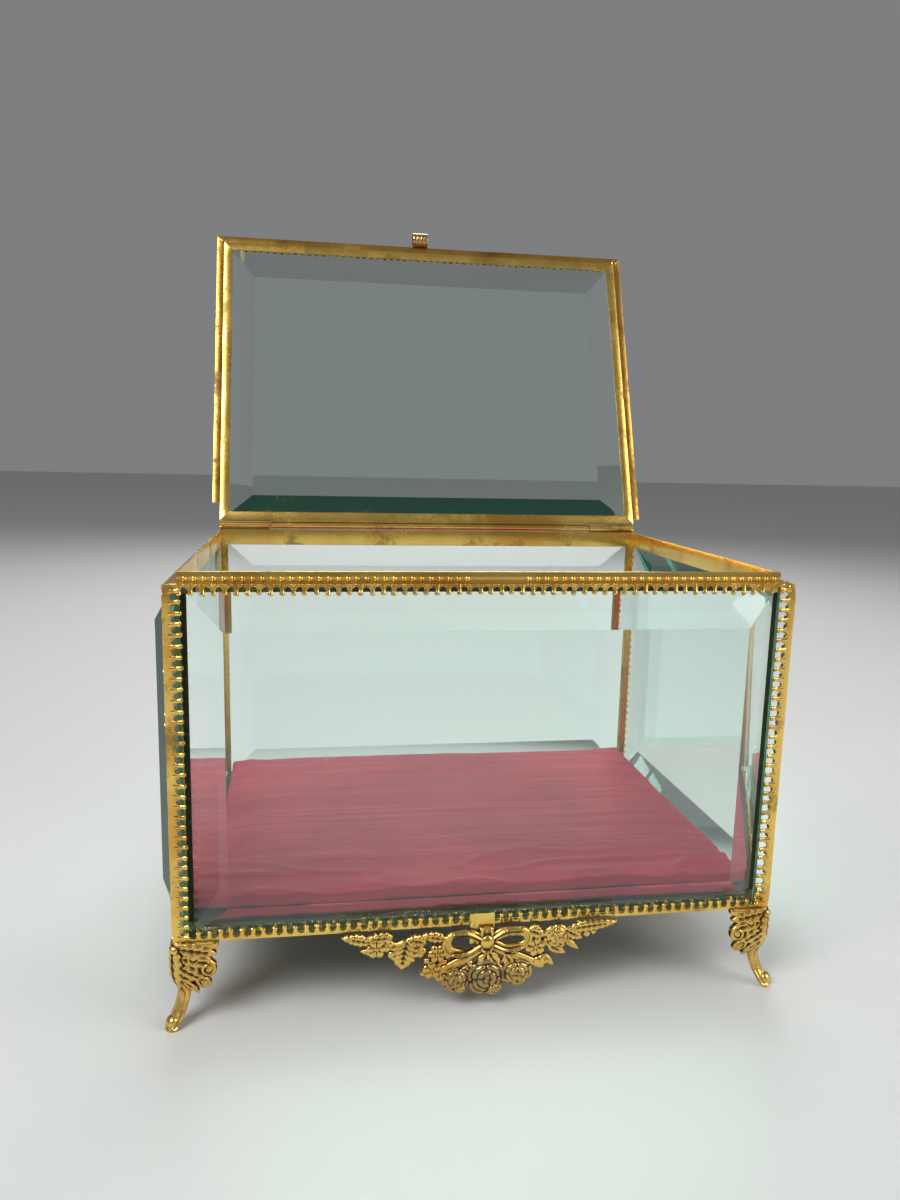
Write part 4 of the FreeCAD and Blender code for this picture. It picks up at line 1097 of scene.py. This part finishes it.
def foot(name, sign_x, sign_y):
    made = sizes()
    scale = made.foot_relief / (1.1 * MM)
    face_x, face_y = OUT_X + 0.25 * MM, OUT_Y + 0.25 * MM
    radius, thick, lowest = 1.7, 0.9, 0.02
    art = foot_relief()

    def lean(v):
        """How far the foot leaves the corner's diagonal at a height: in at the waist, out at the toe."""
        waist = -1.9 * math.exp(-(((v - 8.2) / 3.8) ** 2))
        toe = 2.5 * max(0.0, (4.4 - v) / 4.4) ** 1.3
        return waist + toe

    def place(u, v, high):
        """Folds the flat relief round the corner."""
        arc = radius * math.pi / 4
        if abs(u) < arc:
            angle = math.pi / 4 + u / radius
            normal = (math.cos(angle), math.sin(angle))
            plan = (-radius + radius * normal[0], -radius + radius * normal[1])
        elif u > 0:
            plan, normal = (-radius - (u - arc), 0.0), (0.0, 1.0)
        else:
            plan, normal = (0.0, -radius - (-u - arc)), (1.0, 0.0)
        out = (high - thick) * scale
        diagonal = lean(v) * math.sqrt(0.5)
        x = face_x / MM + plan[0] + normal[0] * out + diagonal
        y = face_y / MM + plan[1] + normal[1] * out + diagonal
        return (sign_x * x * MM, MIDDLE_Y + sign_y * y * MM, max(v, lowest) * MM)

    shell = art.shell(place, thick, 0.0)
    toe = bmesh.new()
    bmesh.ops.create_uvsphere(toe, u_segments=28, v_segments=18, radius=1.0)
    out = Vector((sign_x, sign_y, 0)).normalized()
    across = Vector((-out.y, out.x, 0))
    inset, level = 0.3 * MM, 1.92 * MM
    centre = Vector((sign_x * (face_x - inset), MIDDLE_Y + sign_y * (face_y - inset), level)) + out * MM
    for vertex in toe.verts:
        a, b, c = vertex.co
        wind = math.atan2(c, b)
        radial = math.hypot(b, c)
        curl = 0.09 * math.cos(2 * (wind + 1.2) + 5.0 * radial) * (1 - abs(a))
        ring = 1 + curl - 0.25 * math.exp(-((radial / 0.3) ** 2)) * abs(a)
        sideways, ahead = across * a * 1.75 * MM * ring, out * b * 1.55 * MM * ring
        vertex.co = centre + sideways + ahead + Vector((0, 0, c * 1.7 * MM * ring))
    mesh = bpy.data.meshes.new("toe")
    toe.to_mesh(mesh)
    toe.free()
    for label, flat in (("relief", 0.75), ("tarnish", 0.1)):
        layer = mesh.attributes.new(label, "FLOAT", "POINT")
        layer.data.foreach_set("value", np.full(len(mesh.vertices), flat, np.float32))
    stamped_piece(f"foot_{name}", [shell, mesh], [f"foot_{name}"])


# ------------------------------------------------------------------ lid
def lid_place(side):
    """Places a point of the closed lid's frame, (along, out, up from its underside), in the opened pose."""
    made = sizes()
    rear = HINGE.y - 1.5 * MM
    front = MIDDLE_Y - LIP_Y - made.lid_overhang
    middle, half = (rear + front) / 2, (rear - front) / 2
    level = LIP_TOP + made.lid_gap

    def place(along, out, height):
        return LID_SWING @ on_side(side, along, out, level + height, middle, LIP_X, half)

    return place, half_run(side, half)


def lid_turn(direction):
    return LID_SWING.to_3x3() @ direction


def lid_rail(side, seed):
    made = sizes()
    sheet, tall, flange = made.sheet, made.lid_height, made.lid_flange
    place, reach = lid_place(side)
    band = made.lid_band
    section = [
        (-flange, 0.0), (0.0, 0.0), (0.0, tall), (-band, tall), (-band, tall - sheet),
        (-sheet, tall - sheet), (-sheet, sheet), (-flange, sheet),
    ]
    parts = [strip(place, reach, rounded(section, 0.14 * MM), seed, wobble=0.07 * MM)]
    out, inward = lid_turn(Vector((0, 0, 1))), lid_turn(-outward(side))
    start, end = (place(sign * (reach - band - 0.8 * MM), -band, tall - SEATING) for sign in (-1, 1))
    parts.append(row("tooth", start, end, out, inward, seed, 0.92))
    gilt_piece(f"lid_rail_{side}", parts, [f"lid_rail_{side}"], "lid")


def lid_border(side, seed):
    made = sizes()
    sheet, wide, level = made.sheet, 2.65 * MM, 0.6 * MM
    top = level + 1.9 * MM
    place, reach = lid_place(side)
    section = [
        (0.0, level), (wide, level), (wide, top), (wide - 1.6 * sheet, top),
        (wide - 1.6 * sheet, top - sheet), (wide - sheet, top - 1.4 * sheet),
        (wide - sheet, level + sheet), (0.0, level + sheet),
    ]
    stops = {"front": (None, None), "left": (6.5 * MM, None), "right": (None, 2.0 * MM)}[side]
    parts = [strip(place, reach, rounded(section, 0.12 * MM), seed, stops, wobble=0.09 * MM)]
    if side == "front":
        for end in (-1, 1):
            parts.append(solder(place(end * (reach + 0.7 * MM), 1.0 * MM, level), 1.15 * MM, seed + end))
    nodes = [f"lid_border_{side}"]
    # the border strips take the darker gilding as painted shade
    finish_piece(f"gilt_lid_border_{side}", parts, shaded_gilt(), "lid", nodes)


def solder(centre, radius, seed):
    """A small uneven blob where two strips are soldered."""
    blob = bmesh.new()
    bmesh.ops.create_icosphere(blob, subdivisions=3, radius=radius)
    flat = lid_turn(Vector((0, 0, 1)))
    for vertex in blob.verts:
        swell = 1 + 0.35 * noise.noise(vertex.co * 900.0 + Vector((seed, 0, 0)))
        point = vertex.co * swell
        vertex.co = centre + point - flat * point.dot(flat) * 0.55
    mesh = bpy.data.meshes.new("solder")
    blob.to_mesh(mesh)
    blob.free()
    return mesh


def catch():
    """A ribbed tongue on the front border, rolled at its end."""
    place, _ = lid_place("front")
    middle, half = -1.9, 2.8
    wide_steps, ribs = 36, 4
    roll_out, roll_up, roll_radius = 5.35, 0.1, 2.35
    line = [(2.7, 2.6), (2.75, 1.6), (2.9, 0.9)]
    for k in range(15):
        angle = math.radians(-190 + k * 22)
        line.append((roll_out + roll_radius * math.cos(angle), roll_up + roll_radius * math.sin(angle)))
    points, faces = [], []
    for out, up in line:
        for k in range(wide_steps + 1):
            across = middle - half + 2 * half * k / wide_steps
            rib = 0.2 * abs(math.sin(math.pi * ribs * k / wide_steps))
            pull = Vector((out - roll_out, up - roll_up))
            pull = pull.normalized() if pull.length > 0.1 else Vector((0, 1))
            points.append(place(across * MM, (out + pull.x * rib) * MM, (up + pull.y * rib) * MM))
    columns = wide_steps + 1
    for i in range(len(line) - 1):
        for k in range(wide_steps):
            a = i * columns + k
            faces.append((a, a + 1, a + columns + 1, a + columns))
    sheet = mesh_from(points, faces)
    shell = bmesh.new()
    shell.from_mesh(sheet)
    bmesh.ops.solidify(shell, geom=shell.faces[:], thickness=0.35 * MM)
    shell.to_mesh(sheet)
    shell.free()
    finish_piece("rolled_catch", [sheet], dark_brass(), "lid", ["catch"], smooth=60)


# ------------------------------------------------------------------ lining
def simulated_pad(low, high):
    """A thin pad blown up a little by cloth simulation, at ten times its size."""
    grow = CLOTH_SCALE
    inset, flatter, most = 0.6 * MM, 2.4 * MM, 1.6 * MM * grow
    box = bmesh.new()
    bmesh.ops.create_cube(box, size=1.0)
    centre, extent = (low + high) / 2, high - low
    for vertex in box.verts:
        x, y, z = vertex.co
        x, y, z = x * (extent.x - 2 * inset), y * (extent.y - 2 * inset), z * (extent.z - flatter)
        vertex.co = Vector((x, y, z)) * grow
    mesh = bpy.data.meshes.new("pad")
    box.to_mesh(mesh)
    box.free()
    pad = bpy.data.objects.new("pad", mesh)
    bpy.context.scene.collection.objects.link(pad)
    remesh = pad.modifiers.new("even", "REMESH")
    remesh.mode = "VOXEL"
    remesh.voxel_size = 0.016
    graph = bpy.context.evaluated_depsgraph_get()
    even = bpy.data.meshes.new_from_object(pad.evaluated_get(graph), depsgraph=graph)
    pad.modifiers.clear()
    pad.data = even
    before = np.array([v.co for v in even.vertices])
    cloth = pad.modifiers.new("cloth", "CLOTH")
    cloth.settings.use_pressure = True
    cloth.settings.uniform_pressure_force = 4.0
    cloth.settings.effector_weights.gravity = 0.0
    cloth.settings.shrink_min = -0.06
    cloth.settings.tension_stiffness = 15.0
    cloth.settings.bending_stiffness = 0.3
    cloth.point_cache.frame_start, cloth.point_cache.frame_end = 1, CLOTH_FRAMES
    scene = bpy.context.scene
    for step in range(1, CLOTH_FRAMES + 1):
        scene.frame_set(step)
    graph = bpy.context.evaluated_depsgraph_get()
    blown = bpy.data.meshes.new_from_object(pad.evaluated_get(graph), depsgraph=graph)
    after = np.array([v.co for v in blown.vertices])
    move = after - before
    far = np.linalg.norm(move, axis=1, keepdims=True)
    after = before + move * np.minimum(1.0, most / np.maximum(far, 1e-9))
    bpy.data.objects.remove(pad)
    scene.frame_set(1)
    blown.vertices.foreach_set("co", (after / grow + np.array(centre)).astype(np.float32).ravel())
    return blown


def crease(x, y, low, high):
    """Height of the silk's folds: long soft ones, and sharper ones near the front and the corners."""
    wide, deep = (x - low.x) / (high.x - low.x), (y - low.y) / (high.y - low.y)
    soft = 0.45 * noise.noise(Vector((x * 26.0, y * 40.0, 2.0)))
    soft += 0.18 * noise.noise(Vector((x * 90.0, y * 120.0, 5.0)))
    ridge = 1.0 - abs(noise.noise(Vector((x * 38.0 + y * 30.0, y * 150.0, 9.0)))) * 2.2
    front = math.exp(-((deep / 0.16) ** 2))
    corner = math.exp(-((min(wide, 1 - wide) / 0.12) ** 2)) * math.exp(-((min(deep, 1 - deep) / 0.2) ** 2))
    sharp = max(0.0, ridge) ** 3
    return (soft + (0.9 * front + 0.9 * corner) * (sharp - 0.35)) * MM


def cushion():
    low, high = CUSHION
    mesh = simulated_pad(low, high)
    shape = bmesh.new()
    shape.from_mesh(mesh)
    bmesh.ops.subdivide_edges(shape, edges=shape.edges[:], cuts=1, use_grid_fill=True, smooth=0.3)
    axes = {"use_axis_x": True, "use_axis_y": True, "use_axis_z": True}
    bmesh.ops.smooth_vert(shape, verts=shape.verts[:], factor=0.5, **axes)
    beyond = 0.4 * MM
    for vertex in shape.verts:
        point = vertex.co
        up = min(1.0, max(0.0, (point.z - low.z) / (0.6 * (high.z - low.z))))
        point.z += crease(point.x, point.y, low, high) * up
        edge = min(point.x - low.x, high.x - point.x, point.y - low.y, high.y - point.y)
        if edge < 1.2 * MM:
            swell = 0.25 * MM * noise.noise(Vector((point.x * 160, point.y * 160, point.z * 90)))
            point.x += swell if point.x > 0 else -swell
            point.y += swell if point.y > MIDDLE_Y else -swell
        point.z = max(point.z, low.z + 0.02 * MM)
        point.x = min(max(point.x, low.x - beyond), high.x + beyond)
        point.y = min(max(point.y, low.y - beyond), high.y + beyond)
    shape.to_mesh(mesh)
    shape.free()
    piece = finish_piece("silk_cushion", [mesh], silk(), "casket", ["cushion"], smooth=80)


def paint_nodes(names, material):
    for name in names:
        data = frame["nodes"][name].data
        if not data.materials:
            data.materials.append(material)
        for index in range(len(data.materials)):
            data.materials[index] = material


# ------------------------------------------------------------------ operators
def each_side(build, first_seed, sides=SIDES):
    for number, side in enumerate(sides):
        build(side, first_seed + number)
    return {"FINISHED"}


class CasketStep(bpy.types.Operator):
    """Shared settings of the casket's steps"""

    bl_options = {"REGISTER", "UNDO"}


class CASKET_OT_glass(CasketStep):
    """Gives the bevelled panes of the walls, base and lid their glass"""

    bl_idname = "casket.glass"
    bl_label = "Bevelled glass"

    def execute(self, context):
        panes = [name for name in frame["nodes"] if name.endswith("_glass")]
        paint_nodes(panes, glass())
        rim = ground_edge()
        for name in panes:
            data = frame["nodes"][name].data
            data.materials.append(rim)
            facing = max(data.polygons, key=lambda polygon: polygon.area).normal.copy()
            for polygon in data.polygons:
                polygon.material_index = 1 if abs(polygon.normal.dot(facing)) < 0.2 else 0
        return {"FINISHED"}


class CASKET_OT_top_rails(CasketStep):
    """Builds the four top rails with their pearls and teeth"""

    bl_idname = "casket.top_rails"
    bl_label = "Top rails"

    def execute(self, context):
        return each_side(top_rail, 11)


class CASKET_OT_bottom_rails(CasketStep):
    """Builds the four bottom rails with their teeth and shelves"""

    bl_idname = "casket.bottom_rails"
    bl_label = "Bottom rails"

    def execute(self, context):
        return each_side(bottom_rail, 31)


class CASKET_OT_tray_crowns(CasketStep):
    """Builds the pointed edging of the tray, inside the panes"""

    bl_idname = "casket.tray_crowns"
    bl_label = "Tray edging"

    def execute(self, context):
        return each_side(tray_crown, 51)


class CASKET_OT_posts(CasketStep):
    """Builds the corner posts, and finishes the angles inside them"""

    bl_idname = "casket.posts"
    bl_label = "Corner posts"

    def execute(self, context):
        for number, (name, signs) in enumerate(CORNERS.items()):
            corner_post(name, *signs, 71 + 3 * number)
        paint_nodes([n for n in frame["nodes"] if n.startswith("inner_angle")] + ["swag_tab"], gilt())
        return {"FINISHED"}


class CASKET_OT_feet(CasketStep):
    """Builds the four stamped feet"""

    bl_idname = "casket.feet"
    bl_label = "Feet"

    def execute(self, context):
        for name, signs in CORNERS.items():
            foot(name, *signs)
        return {"FINISHED"}


class CASKET_OT_swag(CasketStep):
    """Builds the stamped swag under the front rail"""

    bl_idname = "casket.swag"
    bl_label = "Swag"

    def execute(self, context):
        swag()
        return {"FINISHED"}


class CASKET_OT_lid(CasketStep):
    """Builds the lid's frame, borders and catch, and finishes the hinge"""

    bl_idname = "casket.lid"
    bl_label = "Lid and hinge"

    def execute(self, context):
        each_side(lid_rail, 91)
        each_side(lid_border, 101, ("front", "left", "right"))
        catch()
        paint_nodes([n for n in frame["nodes"] if n.startswith("hinge_knuckle")], gilt())
        paint_nodes(["hinge_pin"], pin_steel())
        return {"FINISHED"}


class CASKET_OT_lining(CasketStep):
    """Builds the silk cushion and finishes the card board under it"""

    bl_idname = "casket.lining"
    bl_label = "Cushion and board"

    def execute(self, context):
        cushion()
        paint_nodes(["base_board"], card())
        return {"FINISHED"}


class CASKET_OT_stage(CasketStep):
    """Sets the floor, the soft lights and the camera"""

    bl_idname = "casket.stage"
    bl_label = "Stage"

    def execute(self, context):
        look = finishes()
        floor_mesh = mesh_from([(-4, -4, 0), (4, -4, 0), (4, 4, 0), (-4, 4, 0)], [(0, 1, 2, 3)])
        floor = bpy.data.objects.new("floor", floor_mesh)
        context.scene.collection.objects.link(floor)
        material, tree, shader, _, position = new_material("pale_floor")
        grain = noise_at(tree, position, 30.0, 4.0)
        tone = mixed(tree, maths(tree, "MULTIPLY", grain, 0.12), look.floor, [c * 0.9 for c in look.floor])
        tree.links.new(tone, shader.inputs["Base Color"])
        shader.inputs["Roughness"].default_value = 0.55
        floor_mesh.materials.append(material)
        floor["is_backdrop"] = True
        world = bpy.data.worlds.new("studio")
        world.use_nodes = True
        world.node_tree.nodes["Background"].inputs["Color"].default_value = (0.8, 0.81, 0.83, 1.0)
        world.node_tree.nodes["Background"].inputs["Strength"].default_value = 0.26
        context.scene.world = world
        context.scene.view_settings.view_transform = "Standard"
        for label, place, aim, wide, power in (
            ("key", (-0.55, -0.5, 0.75), (0, 0, 0.08), 0.5, 7.5),
            ("fill", (0.7, -0.35, 0.45), (0, 0, 0.08), 0.6, 3.5),
            ("back", (0.1, 0.7, 0.7), (0, 0, 0.1), 0.6, 5.0),
        ):
            light = bpy.data.lights.new(label, "AREA")
            light.shape, light.size, light.energy = "SQUARE", wide, power
            lamp = bpy.data.objects.new(label, light)
            lamp.location = place
            lamp.rotation_euler = (Vector(aim) - Vector(place)).to_track_quat("-Z", "Y").to_euler()
            context.scene.collection.objects.link(lamp)
        camera = bpy.data.cameras.new("camera")
        camera.sensor_width, camera.lens, camera.clip_start = 36.0, 26.84, 0.01
        eye = bpy.data.objects.new("camera", camera)
        yaw, pitch, roll = (math.radians(angle) for angle in (-9.18, -9.59, 1.34))
        turn = Matrix.Rotation(yaw, 3, "Z") @ Matrix.Rotation(pitch, 3, "X")
        right, ahead, up = turn @ Vector((1, 0, 0)), turn @ Vector((0, 1, 0)), turn @ Vector((0, 0, 1))
        cos, sin = math.cos(roll), math.sin(roll)
        right, up = cos * right + sin * up, cos * up - sin * right
        axes = Matrix((right, up, -ahead)).transposed().to_4x4()
        eye.matrix_world = Matrix.Translation(Vector((-0.0451, -0.28359, 0.1429))) @ axes
        context.scene.collection.objects.link(eye)
        context.scene.camera = eye
        return {"FINISHED"}


class CASKET_PT_build(bpy.types.Panel):
    """Steps, sizes and colours of the casket"""

    bl_idname = "CASKET_PT_build"
    bl_label = "Glass casket"
    bl_space_type = "VIEW_3D"
    bl_region_type = "UI"
    bl_category = "Casket"

    def draw(self, context):
        layout = self.layout
        for step in STEPS:
            layout.operator(step.bl_idname)
        for group in (context.scene.casket_sizes, context.scene.casket_finishes):
            box = layout.box()
            for name in group.__annotations__:
                box.prop(group, name)


STEPS = (
    CASKET_OT_stage,
    CASKET_OT_glass,
    CASKET_OT_top_rails,
    CASKET_OT_bottom_rails,
    CASKET_OT_tray_crowns,
    CASKET_OT_posts,
    CASKET_OT_feet,
    CASKET_OT_swag,
    CASKET_OT_lid,
    CASKET_OT_lining,
)
CLASSES = (CasketSizes, CasketFinishes, *STEPS, CASKET_PT_build)


def register():
    for kind in CLASSES:
        bpy.utils.register_class(kind)
    bpy.types.Scene.casket_sizes = bpy.props.PointerProperty(type=CasketSizes)
    bpy.types.Scene.casket_finishes = bpy.props.PointerProperty(type=CasketFinishes)


def unregister():
    del bpy.types.Scene.casket_finishes
    del bpy.types.Scene.casket_sizes
    for kind in reversed(CLASSES):
        bpy.utils.unregister_class(kind)


def main():
    register()
    for step in STEPS:
        group, name = step.bl_idname.split(".")
        getattr(getattr(bpy.ops, group), name)()
    clear_units()
    as_lists = lambda corners: [list(map(float, corner)) for corner in corners]
    {"cad": as_lists(CAD_BOX), "visual": as_lists(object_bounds())}


if __name__ == "__main__":
    main()
